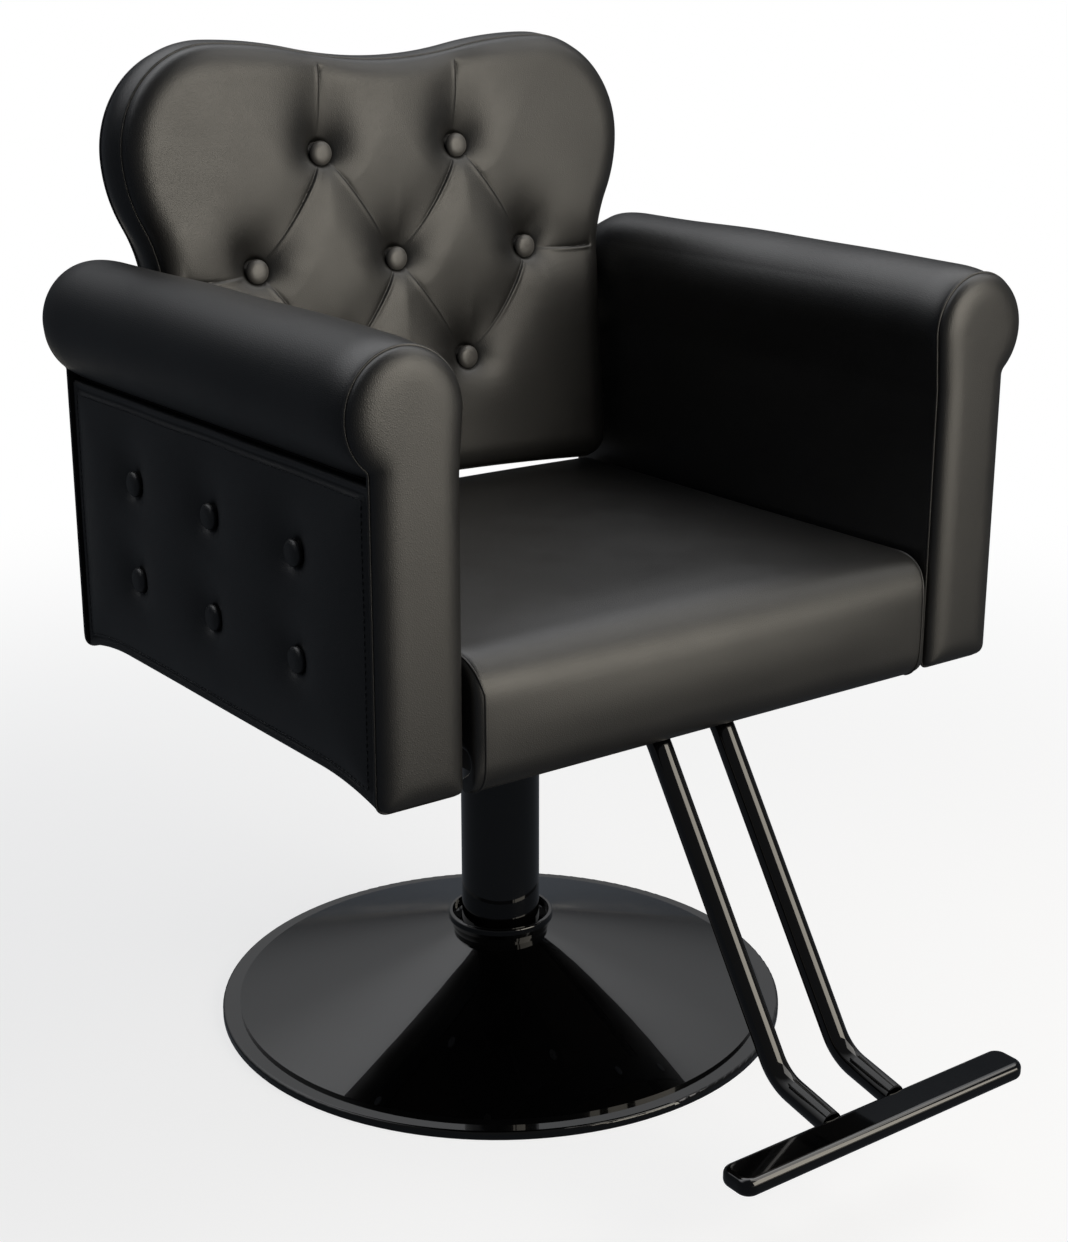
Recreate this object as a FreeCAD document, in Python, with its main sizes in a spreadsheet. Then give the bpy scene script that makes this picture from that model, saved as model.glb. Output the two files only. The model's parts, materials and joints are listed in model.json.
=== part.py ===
import FreeCAD, Part
import Sketcher
import math
import os
import re

# Salon styling chair: a tufted heart-shaped back between two scroll arms, on a foot-pumped hydraulic column.
# Millimetres, +Z up. The origin is where the column's axis meets the floor, and the sitter faces -Y.
# Left and right are the sitter's own, so the left arm is at +X.

DIMENSIONS = {
    # Floor plate, dome and trim collar
    "base_radius": 290,
    "base_thickness": 8,
    "base_edge": 3,
    "dome_inset": 18,
    "dome_lip": 3,
    "dome_top_height": 82,
    "dome_land": 8,
    "dome_wall": 2.5,
    "collar_height": 16,
    "collar_flare": 4,
    "collar_flare_rise": 9.6,
    "collar_floor_rise": 7.2,
    "collar_wall": 4,
    "collar_gap": 2,
    "collar_edge": 2,
    # Pump: outer column, flange, pressure cylinder, cap and guide
    "column_radius": 40,
    "column_wall": 2.5,
    "column_top": 345,
    "flange_thickness": 10,
    "flange_spigot": 6,
    "flange_bolt_gap": 16,
    "flange_margin": 16,
    "cylinder_wall": 3.4,
    "cap_plug": 24,
    "cap_flange": 5,
    "cap_edge": 2,
    "bush_wall": 3,
    "wiper_width": 5,
    "wiper_height": 3,
    # Ram, piston and swivel
    "ram_radius": 15,
    "ram_bottom": 30,
    "ram_stub": 8,
    "ram_rise": 12,
    "piston_step": 2.5,
    "piston_height": 20,
    "ring_width": 2,
    "ring_height": 6,
    "swivel_radius": 10.5,
    "spigot_recess": 1,
    "spigot_edge": 2,
    "washer_height": 3,
    "washer_radius": 20,
    "hub_radius": 26,
    "hub_height": 42,
    "hub_edge": 3,
    "gusset_reach": 40,
    "gusset_height": 30,
    "gusset_thickness": 6,
    "gusset_root": 1,
    # Foot pedal, plunger and pump barrel, laid out along the pedal's heading
    "pedal_heading": 53.62,
    "pedal_pivot_gap": 16,
    "pedal_pivot_height": 124,
    "pedal_pin_radius": 4,
    "pedal_pin_end": 2,
    "pedal_boss_radius": 9,
    "pedal_nose_radius": 4,
    "pedal_half_width": 8,
    "pedal_side_gap": 1,
    "pedal_bar": 12,
    "pedal_reach": 285,
    "pedal_plate_length": 62,
    "pedal_plate_width": 68,
    "pedal_plate_thickness": 4,
    "pedal_pad_thickness": 9,
    "pedal_rib": 2,
    "ear_thickness": 5,
    "ear_height": 34,
    "window_height": 34,
    "barrel_gap": 0.1,
    "barrel_end": 4.2,
    "barrel_bottom": 155,
    "barrel_height": 40,
    "plunger_radius": 3.9,
    "plunger_height": 42,
    "plunger_head_radius": 6,
    "plunger_head_height": 4,
    "spring_wire": 0.8,
    "spring_radius": 5,
    "spring_turns": 4,
    # Seat board, cushion and what is bolted under it
    "board_thickness": 18,
    "board_inset": 8,
    "board_rear_inset": 10,
    "board_corner": 25,
    "seat_half_width": 258,
    "seat_front": 334,
    "seat_rear_gap": 15,
    "seat_thickness": 86,
    "apron_drop": 12,
    "apron_thickness": 16,
    "seat_front_round": 45,
    "seat_rear_round": 20,
    "seat_side_round": 12,
    "plate_half_width": 100,
    "plate_half_depth": 88,
    "plate_thickness": 6,
    "plate_corner": 16,
    "plate_hole_gap": 1,
    "plate_bolt_x": 80,
    "plate_bolt_y": 68,
    "strap_inset": 16,
    "strap_half_width": 18,
    "strap_thickness": 5,
    "strap_from_axis": 115,
    "strap_screw_inset": 50,
    # Scroll arms
    "arm_gap": 8,
    "arm_width": 80,
    "arm_setback": 7,
    "arm_rear": 220,
    "arm_height": 254,
    "arm_inner_pad": 9,
    "arm_outer_pad": 11,
    "arm_end_pad": 9,
    "arm_end_round": 5,
    "arm_rail": 45,
    "arch_run": 90,
    "roll_offset": 48,
    "roll_rise": 52,
    "roll_radius": 56,
    "scroll_throat": 6,
    "scroll_neck": 40,
    "arm_button_first": 84,
    "arm_button_row": 91,
    "arm_button_pitch": 143,
    "arm_tuft_depth": 6,
    "arm_tuft_mouth": 20,
    # Tufted back, measured along its own lean
    "back_lean": 4.6,
    "back_setback": 61,
    "back_foot_gap": 18,
    "back_side_gap": 1.5,
    "back_waist_height": 206,
    "back_lobe_overhang": 31.5,
    "back_lobe_radius": 100,
    "back_height": 435,
    "back_dip": 19,
    "back_foot_round": 24,
    "back_board_inset": 3,
    "back_crown": 12,
    "back_foam": 24,
    "back_board": 15,
    "back_rear_foam": 18,
    "back_front_round": 16,
    "back_rear_round": 7,
    "tuft_columns": 80,
    "tuft_first_row": 113,
    "tuft_row_pitch": 108,
    "tuft_depth": 14,
    "tuft_mouth": 24,
    "back_bolt_low": 58,
    "back_bolt_high": 118,
    "button_radius": 12,
    "button_height": 8,
    "button_gap": 1,
    # Footrest
    "tube_radius": 11,
    "tube_wall": 2,
    "tube_spacing": 74,
    "tube_strap_gap": 9,
    "tube_setback": 51,
    "tube_leg_angle": 33.5,
    "tube_toe_angle": 11.5,
    "tube_bend_radius": 45,
    "bar_reach": 194,
    "bar_depth": 36,
    "bar_thickness": 16,
    "bar_centre_height": 111,
    "bar_half_length": 164,
    "bar_round": 6,
    "bar_corner": 12,
    "clamp_half_length": 74,
    "clamp_width": 24,
    "clamp_thickness": 4,
    "clamp_bolt_out": 61,
    # Fasteners and fits
    "bolt_radius": 4,
    "bolt_head_radius": 7.5,
    "bolt_head_height": 5,
    "anchor_radius": 5,
    "anchor_head_radius": 9.8,
    "anchor_head_height": 7,
    "screw_radius": 3,
    "screw_head_radius": 6,
    "screw_head_height": 3,
    "sink_gap": 1,
    "thread_grip": 15,
    "running_fit": 0.05,
    "drilled_clearance": 0.3,
    "working_gap": 0.3,
    "cut_overrun": 1,
}

# Sizes that follow from the driving ones, written as formulas
DERIVED = {
    # Base and pump, from the floor up to the underside of the seat board
    "flange_top": "base_thickness + flange_thickness",
    "flange_bolt_circle": "column_radius + flange_bolt_gap",
    "flange_radius": "flange_bolt_circle + flange_margin",
    "column_bore": "column_radius - column_wall",
    "dome_bore": "column_radius + collar_gap",
    "dome_top_radius": "dome_bore + dome_land",
    "dome_foot": "base_radius - dome_inset",
    "collar_mouth": "dome_top_radius + collar_flare",
    "collar_top": "dome_top_height + collar_height",
    "piston_radius": "ram_radius + piston_step",
    "cylinder_bore": "piston_radius + 2 * running_fit",
    "cylinder_radius": "cylinder_bore + cylinder_wall",
    "cap_bottom": "column_top - cap_plug",
    "cap_top": "column_top + cap_flange",
    "bush_radius": "ram_radius + running_fit + bush_wall",
    "ram_shoulder": "column_top + ram_rise",
    "hub_bottom": "ram_shoulder + washer_height",
    "plate_bottom": "hub_bottom + hub_height",
    "underside_height": "plate_bottom + plate_thickness",
    "spigot_top": "underside_height - spigot_recess",
    # Pedal and plunger, which works in the space between the cylinder and the column
    "pedal_pivot_out": "column_radius + pedal_pivot_gap",
    "pedal_plate_top": "pedal_pivot_height + pedal_bar / 2 + pedal_plate_thickness",
    "plunger_out": "(column_bore + cylinder_radius) / 2",
    "plunger_foot": "pedal_pivot_height + pedal_nose_radius + working_gap",
    "barrel_radius": "(column_bore - cylinder_radius) / 2 - barrel_gap",
    "barrel_top": "barrel_bottom + barrel_height",
    # Seat
    "board_half_width": "seat_half_width - board_inset",
    "board_top": "underside_height + board_thickness",
    "board_front": "seat_front - apron_thickness",
    "board_rear": "seat_rear - board_rear_inset",
    "seat_rear": "arm_rear - seat_rear_gap",
    "seat_top": "board_top + seat_thickness",
    "apron_bottom": "underside_height - apron_drop",
    "strap_bottom": "underside_height - strap_thickness",
    "strap_half_length": "arm_outer - strap_inset",
    "strap_screw_out": "board_half_width - strap_screw_inset",
    # Arms
    "arm_inner": "seat_half_width + arm_gap",
    "arm_outer": "arm_inner + arm_width",
    "arm_front": "seat_front - arm_setback",
    "arm_middle": "(arm_rear - arm_front) / 2",
    "arm_seam_height": "underside_height + arm_height",
    "frame_inner": "arm_inner + arm_inner_pad",
    "frame_outer": "arm_outer - arm_outer_pad",
    "frame_middle": "(frame_inner + frame_outer) / 2",
    "frame_front": "arm_front - arm_end_pad",
    "frame_rear": "arm_rear - arm_end_pad",
    "roll_centre_out": "arm_inner + roll_offset",
    "roll_centre_height": "arm_seam_height + roll_rise",
    "roll_foot_out": "roll_centre_out + sqrt(roll_radius^2 - roll_rise^2)",
    "roll_reach": "sqrt(roll_offset^2 + roll_rise^2)",
    "roll_slope": "sqrt(roll_reach^2 - roll_radius^2)",
    "roll_touch_run": "roll_slope * (roll_slope * roll_offset - roll_radius * roll_rise) / roll_reach^2",
    "roll_touch_rise": "roll_slope * (roll_slope * roll_rise + roll_radius * roll_offset) / roll_reach^2",
    "roll_touch_out": "arm_inner + roll_touch_run",
    "neck_lean": "asin(-roll_touch_run / roll_slope)",
    "neck_trim": "scroll_neck * tan(abs(neck_lean) / 2)",
    "throat_out": "arm_outer + scroll_throat - roll_centre_out",
    "throat_drop": "sqrt((roll_radius + scroll_throat)^2 - throat_out^2)",
    "throat_share": "roll_radius / (roll_radius + scroll_throat)",
    "arm_button_low": "underside_height + arm_button_first",
    "arm_button_high": "arm_button_low + arm_button_row",
    "arm_tuft_floor": "arm_outer - arm_tuft_depth",
    # Back
    "back_half_width": "roll_centre_out - roll_radius - back_side_gap",
    "back_lobe_half_width": "back_half_width + back_lobe_overhang",
    "back_foot_depth": "arm_rear - back_setback",
    "back_foot_height": "seat_top + back_foot_gap",
    "back_board_middle": "back_foam + back_board / 2",
    "back_board_rear": "back_foam + back_board",
    "back_rear": "back_board_rear + back_rear_foam",
    "tuft_floor": "tuft_depth - back_crown",
    # Footrest
    "tube_height": "underside_height - tube_radius",
    "tube_back_end": "strap_from_axis + strap_half_width + tube_strap_gap",
    "tube_top_bend": "seat_front - tube_setback",
    "tube_end_out": "bar_rear + bar_depth / 4",
    "tube_end_height": "bar_centre_height - bar_depth / 4 * tan(tube_toe_angle)",
    "bar_rear": "seat_front + bar_reach",
    "tube_straight_end": "tube_top_bend - tube_bend_radius * tan((90 - tube_leg_angle) / 2)",
    "clamp_pitch": "(tube_straight_end - tube_back_end) / 2",
    "clamp_end": "clamp_pitch / 2",
    "clamp_first": "tube_back_end + clamp_end",
    "clamp_bottom": "underside_height - 2 * tube_radius - clamp_thickness",
}

doc = FreeCAD.newDocument("styling_chair")
sheet = doc.addObject("Spreadsheet::Sheet", "dims")
for row, (alias, size) in enumerate(DIMENSIONS.items(), start=1):
    sheet.set(f"A{row}", alias)
    sheet.set(f"B{row}", str(size))
    sheet.setAlias(f"B{row}", alias)
doc.recompute()

X_AXIS = FreeCAD.Vector(1, 0, 0)
Y_AXIS = FreeCAD.Vector(0, 1, 0)
Z_AXIS = FreeCAD.Vector(0, 0, 1)
CLOSE = 0.01
NODES = {}


# Small helpers: formulas, sketches and features

def cells(formula):
    """The formula with derived sizes written out and driving ones pointing at their cells."""
    def to_cell(word):
        name = word.group()
        if name in DERIVED:
            return f"({cells(DERIVED[name])})"
        return f"dims.{name}" if name in DIMENSIONS else name
    return re.sub(r"[a-z][a-z_]*", to_cell, str(formula))


def number(formula):
    """What the formula is worth now."""
    return float(sheet.evalExpression(cells(formula)))


def bind(thing, prop, formula):
    thing.setExpression(prop, cells(formula))


def node(label, thing):
    """Marks a finished piece, which is written to its own file."""
    thing.Label = label
    NODES[label] = thing
    return thing


def new_body(name):
    return doc.addObject("PartDesign::Body", f"{name}_body")


def origin_feature(body, role):
    return next(f for f in body.Origin.OriginFeatures if f.Role == role)


def sketch_on(body, role, along_normal="0"):
    """A sketch on one of the body's origin planes, moved along the plane's normal."""
    sketch = body.newObject("Sketcher::SketchObject", "sketch")
    sketch.AttachmentSupport = (origin_feature(body, role), [""])
    sketch.MapMode = "FlatFace"
    bind(sketch, "AttachmentOffset.Base.z", along_normal)
    return sketch


def pin_point(sketch, geometry, end, x, y):
    """Holds a point at x, y from the sketch's origin, by formulas."""
    for kind, formula, axis in (("DistanceX", x, -2), ("DistanceY", y, -1)):
        if formula == "0":
            sketch.addConstraint(Sketcher.Constraint("PointOnObject", geometry, end, axis))
            continue
        constraint = Sketcher.Constraint(kind, -1, 1, geometry, end, number(formula))
        index = sketch.addConstraint(constraint)
        bind(sketch, f"Constraints[{index}]", formula)


def circle(sketch, x, y, radius):
    centre = FreeCAD.Vector(number(x), number(y), 0)
    geometry = sketch.addGeometry(Part.Circle(centre, Z_AXIS, number(radius)))
    pin_point(sketch, geometry, 3, x, y)
    index = sketch.addConstraint(Sketcher.Constraint("Radius", geometry, number(radius)))
    bind(sketch, f"Constraints[{index}]", radius)


def arc_between(start, finish, radius, turn):
    """The shorter arc from start to finish, turning left or right."""
    chord = finish - start
    side = 1 if turn == "left" else -1
    rise = math.sqrt(max(radius ** 2 - (chord.Length / 2) ** 2, 0))
    normal = FreeCAD.Vector(-chord.y, chord.x, 0).normalize()
    centre = (start + finish) * 0.5 + normal * (side * rise)
    ends = [start, finish] if turn == "left" else [finish, start]
    angles = [math.atan2(p.y - centre.y, p.x - centre.x) for p in ends]
    if angles[1] < angles[0]:
        angles[1] += 2 * math.pi
    return Part.ArcOfCircle(Part.Circle(centre, Z_AXIS, radius), *angles)


def outline(sketch, corners):
    """A closed outline. A corner is (x, y), or (x, y, radius, turn) where an arc runs to the next one."""
    points = [FreeCAD.Vector(number(c[0]), number(c[1]), 0) for c in corners]
    ends = []
    for i, corner in enumerate(corners):
        start, finish = points[i], points[(i + 1) % len(points)]
        if len(corner) == 2:
            ends.append((sketch.addGeometry(Part.LineSegment(start, finish)), 1, 2))
            continue
        radius, turn = corner[2:]
        geometry = sketch.addGeometry(arc_between(start, finish, number(radius), turn))
        ends.append((geometry, 1, 2) if turn == "left" else (geometry, 2, 1))
        index = sketch.addConstraint(Sketcher.Constraint("Radius", geometry, number(radius)))
        bind(sketch, f"Constraints[{index}]", radius)
    for i, (geometry, first, last) in enumerate(ends):
        following = ends[(i + 1) % len(ends)]
        sketch.addConstraint(Sketcher.Constraint("Coincident", geometry, last, following[0], following[1]))
        pin_point(sketch, geometry, first, corners[i][0], corners[i][1])


def rectangle(sketch, x_low, y_low, x_high, y_high):
    outline(sketch, [(x_low, y_low), (x_high, y_low), (x_high, y_high), (x_low, y_high)])


def feature(body, kind, sketch, length, reverse=False):
    """A pad or pocket of a sketch, as long as the formula says."""
    made = body.newObject(f"PartDesign::{kind}", kind.lower())
    made.Profile = sketch
    bind(made, "Length", length)
    made.Reversed = reverse
    doc.recompute()
    return made


def pad(body, sketch, length, reverse=False):
    return feature(body, "Pad", sketch, length, reverse)


def pocket(body, sketch, length, reverse=False):
    """Cuts a sketch into the body, and stops the build if nothing came off."""
    before = body.Shape.Volume
    made = feature(body, "Pocket", sketch, length, reverse)
    if body.Shape.Volume > before - CLOSE:
        raise ValueError(f"{body.Name}: a pocket cuts nothing")
    return made


def revolved(name, corners):
    """A body turned about the column's axis from an outline of (radius, height) corners."""
    body = new_body(name)
    sketch = sketch_on(body, "XZ_Plane")
    outline(sketch, corners)
    turned = body.newObject("PartDesign::Revolution", "revolution")
    turned.Profile = sketch
    turned.ReferenceAxis = (origin_feature(body, "Z_Axis"), [""])
    turned.Angle = 360
    doc.recompute()
    return body


def ring(name, inner, outer, bottom, top):
    return revolved(name, [(inner, bottom), (outer, bottom), (outer, top), (inner, top)])


def rounded(body, radius, wanted):
    """Rounds the edges that the test picks."""
    names = [f"Edge{i}" for i, edge in enumerate(body.Shape.Edges, start=1) if wanted(edge)]
    if not names:
        raise ValueError(f"{body.Name}: no edge to round")
    base = body.Tip
    fillet = body.newObject("PartDesign::Fillet", "fillet")
    fillet.Base = (base, names)
    bind(fillet, "Radius", radius)
    body.Tip = fillet
    doc.recompute()
    return fillet


def near(a, b):
    return abs(a - b) < CLOSE


def turned_to_pedal(body):
    """Turns a body that was laid out along +X to the pedal's heading."""
    body.Placement = FreeCAD.Placement(FreeCAD.Vector(), FreeCAD.Rotation(Z_AXIS, 1))
    bind(body, "Placement.Rotation.Angle", "pedal_heading")
    return body


def leaned(thing):
    """Moves a piece that was laid out upright to the back's foot, and leans it rearwards."""
    thing.Placement = FreeCAD.Placement(FreeCAD.Vector(), FreeCAD.Rotation(X_AXIS, -1))
    bind(thing, "Placement.Base.y", "back_foot_depth")
    bind(thing, "Placement.Base.z", "back_foot_height")
    bind(thing, "Placement.Rotation.Angle", "-back_lean")
    return thing


def mirrored(label, source):
    """The same piece on the sitter's right."""
    made = doc.addObject("Part::Mirroring", label)
    made.Source = source
    made.Normal = X_AXIS
    doc.recompute()
    return node(label, made)


def cylinder(name, place, direction, radius, height):
    """A round bar from a place, given by three formulas, along a direction."""
    made = doc.addObject("Part::Cylinder", name)
    bind(made, "Radius", radius)
    bind(made, "Height", height)
    return put(made, place, direction)


def put(made, place, direction):
    made.Placement = FreeCAD.Placement(FreeCAD.Vector(), FreeCAD.Rotation(Z_AXIS, direction))
    for axis, formula in zip("xyz", place):
        bind(made, f"Placement.Base.{axis}", formula)
    return made


def compound(name, links):
    made = doc.addObject("Part::Compound", name)
    made.Links = links
    doc.recompute()
    return made


def fasteners(label, places, direction, size, grip):
    """Hex bolts, or round-headed screws, with their heads at the places. Returns the holes that they need."""
    bolts, holes = [], []
    for place in places:
        shank = cylinder("shank", place, direction, f"{size}_radius", grip)
        if size == "screw":
            head = cylinder("head", place, -direction, f"{size}_head_radius", f"{size}_head_height")
        else:
            head = put(doc.addObject("Part::Prism", "head"), place, -direction)
            head.Polygon = 6
            bind(head, "Circumradius", f"{size}_head_radius")
            bind(head, "Height", f"{size}_head_height")
        bolt = doc.addObject("Part::Fuse", "bolt")
        bolt.Base, bolt.Tool = head, shank
        bolts.append(bolt)
        wide = f"({size}_radius + drilled_clearance)"
        holes.append(cylinder("hole", place, direction, wide, f"{grip} + drilled_clearance"))
    node(label, compound(label, bolts))
    return holes


def cut_from(label, base, tools):
    """The piece with its holes drilled."""
    made = doc.addObject("Part::Cut", f"{label}_cut")
    made.Base = base
    made.Tool = compound("tools", tools)
    doc.recompute()
    return node(label, made)


def button(place, direction):
    """A covered button: a low dome on a flat back."""
    body = new_body("button")
    sketch = sketch_on(body, "XZ_Plane")
    dome = "((button_radius^2 + button_height^2) / (2 * button_height))"
    outline(sketch, [("0", "0"), ("button_radius", "0", dome, "left"), ("0", "button_height")])
    turned = body.newObject("PartDesign::Revolution", "revolution")
    turned.Profile = sketch
    turned.ReferenceAxis = (origin_feature(body, "Z_Axis"), [""])
    turned.Angle = 360
    doc.recompute()
    return put(body, place, direction)


def dimple(place, direction, mouth, depth):
    """The funnel that a button is drawn into, from its floor out to its mouth."""
    made = doc.addObject("Part::Cone", "dimple")
    bind(made, "Radius1", "button_radius + button_gap")
    bind(made, "Radius2", mouth)
    bind(made, "Height", depth)
    return put(made, place, direction)


# Base: floor plate, dome, trim collar

ANCHOR_PLACES = [
    (f"flange_bolt_circle * cos({angle})", f"flange_bolt_circle * sin({angle})", "flange_top")
    for angle in (45, 135, 225, 315)
]


def make_base():
    plate = new_body("base_plate")
    sketch = sketch_on(plate, "XY_Plane")
    circle(sketch, "0", "0", "base_radius")
    pad(plate, sketch, "base_thickness")
    top = number("base_thickness")
    rounded(plate, "base_edge", lambda edge: near(edge.BoundBox.ZMin, top))
    flange = make_pump_flange()
    holes = fasteners("flange_bolts", ANCHOR_PLACES, -Z_AXIS, "anchor", "thread_grip")
    cut_from("base_plate", plate, holes)
    cut_from("pump_flange", flange, holes)
    node("base_dome", revolved("base_dome", [
        ("dome_foot - dome_wall", "base_thickness"),
        ("dome_foot", "base_thickness"),
        ("dome_foot", "base_thickness + dome_lip"),
        ("dome_top_radius", "dome_top_height"),
        ("dome_bore", "dome_top_height"),
        ("dome_bore", "dome_top_height - dome_wall"),
        ("dome_top_radius - dome_wall / 2", "dome_top_height - dome_wall"),
        ("dome_foot - dome_wall", "base_thickness + dome_lip - dome_wall / 2"),
    ]))
    node("trim_collar", revolved("trim_collar", [
        ("dome_bore", "dome_top_height"),
        ("dome_top_radius", "dome_top_height"),
        ("dome_top_radius + collar_flare / 4", "dome_top_height + collar_height / 4"),
        ("collar_mouth", "dome_top_height + collar_flare_rise"),
        ("collar_mouth", "collar_top - collar_edge", "collar_edge", "left"),
        ("collar_mouth - collar_edge", "collar_top"),
        ("collar_mouth - collar_wall", "collar_top"),
        ("collar_mouth - collar_wall - collar_edge", "dome_top_height + collar_floor_rise"),
        ("dome_bore", "dome_top_height + collar_height / 4"),
    ]))


# Pump: flange, column, cylinder, cap, guide bush and wiper

def make_pump_flange():
    return revolved("pump_flange", [
        ("0", "base_thickness"),
        ("flange_radius", "base_thickness"),
        ("flange_radius", "flange_top"),
        ("column_bore - running_fit", "flange_top"),
        ("column_bore - running_fit", "flange_top + flange_spigot"),
        ("cylinder_radius + running_fit", "flange_top + flange_spigot"),
        ("cylinder_radius + running_fit", "flange_top"),
        ("0", "flange_top"),
    ])


def make_pump():
    column = ring("pump_column", "column_bore", "column_radius", "flange_top", "column_top")
    window = sketch_on(column, "YZ_Plane")
    rectangle(
        window,
        "-(pedal_half_width + pedal_side_gap)", "pedal_pivot_height - window_height / 2",
        "pedal_half_width + pedal_side_gap", "pedal_pivot_height + window_height / 2",
    )
    pocket(column, window, "column_radius + cut_overrun", reverse=True)
    node("pump_column", turned_to_pedal(column))
    node("pressure_cylinder", ring(
        "pressure_cylinder", "cylinder_bore", "cylinder_radius", "flange_top", "cap_bottom"))
    bore = "(bush_radius + running_fit)"
    node("column_cap", revolved("column_cap", [
        (bore, "cap_bottom"),
        ("column_bore - running_fit", "cap_bottom"),
        ("column_bore - running_fit", "column_top"),
        ("column_radius", "column_top"),
        ("column_radius", "cap_top - cap_edge"),
        ("column_radius - cap_edge", "cap_top"),
        (bore, "cap_top"),
    ]))
    node("ram_bush", ring("ram_bush", "ram_radius + running_fit", "bush_radius", "cap_bottom", "cap_top"))
    node("ram_wiper", revolved("ram_wiper", [
        ("ram_radius + running_fit", "cap_top"),
        ("ram_radius + wiper_width", "cap_top"),
        ("ram_radius + wiper_width", "cap_top + wiper_height / 2"),
        ("ram_radius + wiper_width / 2", "cap_top + wiper_height"),
        ("ram_radius + running_fit", "cap_top + wiper_height"),
    ]))


# Ram: piston rod, piston, its ring, and the washer that the seat turns on

def make_ram():
    neck = "(ram_bottom + piston_height)"
    node("ram", revolved("ram", [
        ("0", "ram_bottom"),
        ("ram_stub", "ram_bottom"),
        ("ram_stub", neck),
        ("ram_radius", neck),
        ("ram_radius", "ram_shoulder"),
        ("swivel_radius", "ram_shoulder"),
        ("swivel_radius", "spigot_top - spigot_edge"),
        ("swivel_radius - spigot_edge", "spigot_top"),
        ("0", "spigot_top"),
    ]))
    groove_low = "(ram_bottom + (piston_height - ring_height) / 2)"
    groove_high = f"({groove_low} + ring_height)"
    groove_floor = "(piston_radius - ring_width)"
    node("piston", revolved("piston", [
        ("ram_stub + running_fit", "ram_bottom"),
        ("piston_radius", "ram_bottom"),
        ("piston_radius", groove_low),
        (groove_floor, groove_low),
        (groove_floor, groove_high),
        ("piston_radius", groove_high),
        ("piston_radius", neck),
        ("ram_stub + running_fit", neck),
    ]))
    node("piston_ring", ring(
        "piston_ring", f"{groove_floor} + running_fit", "cylinder_bore - running_fit / 2",
        f"{groove_low} + running_fit", f"{groove_high} - running_fit"))
    node("thrust_washer", ring(
        "thrust_washer", "swivel_radius + running_fit", "washer_radius", "ram_shoulder",
        "hub_bottom - running_fit"))


# Pedal: ears, pin, lever and tread, with the plunger, spring and barrel that it works

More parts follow.
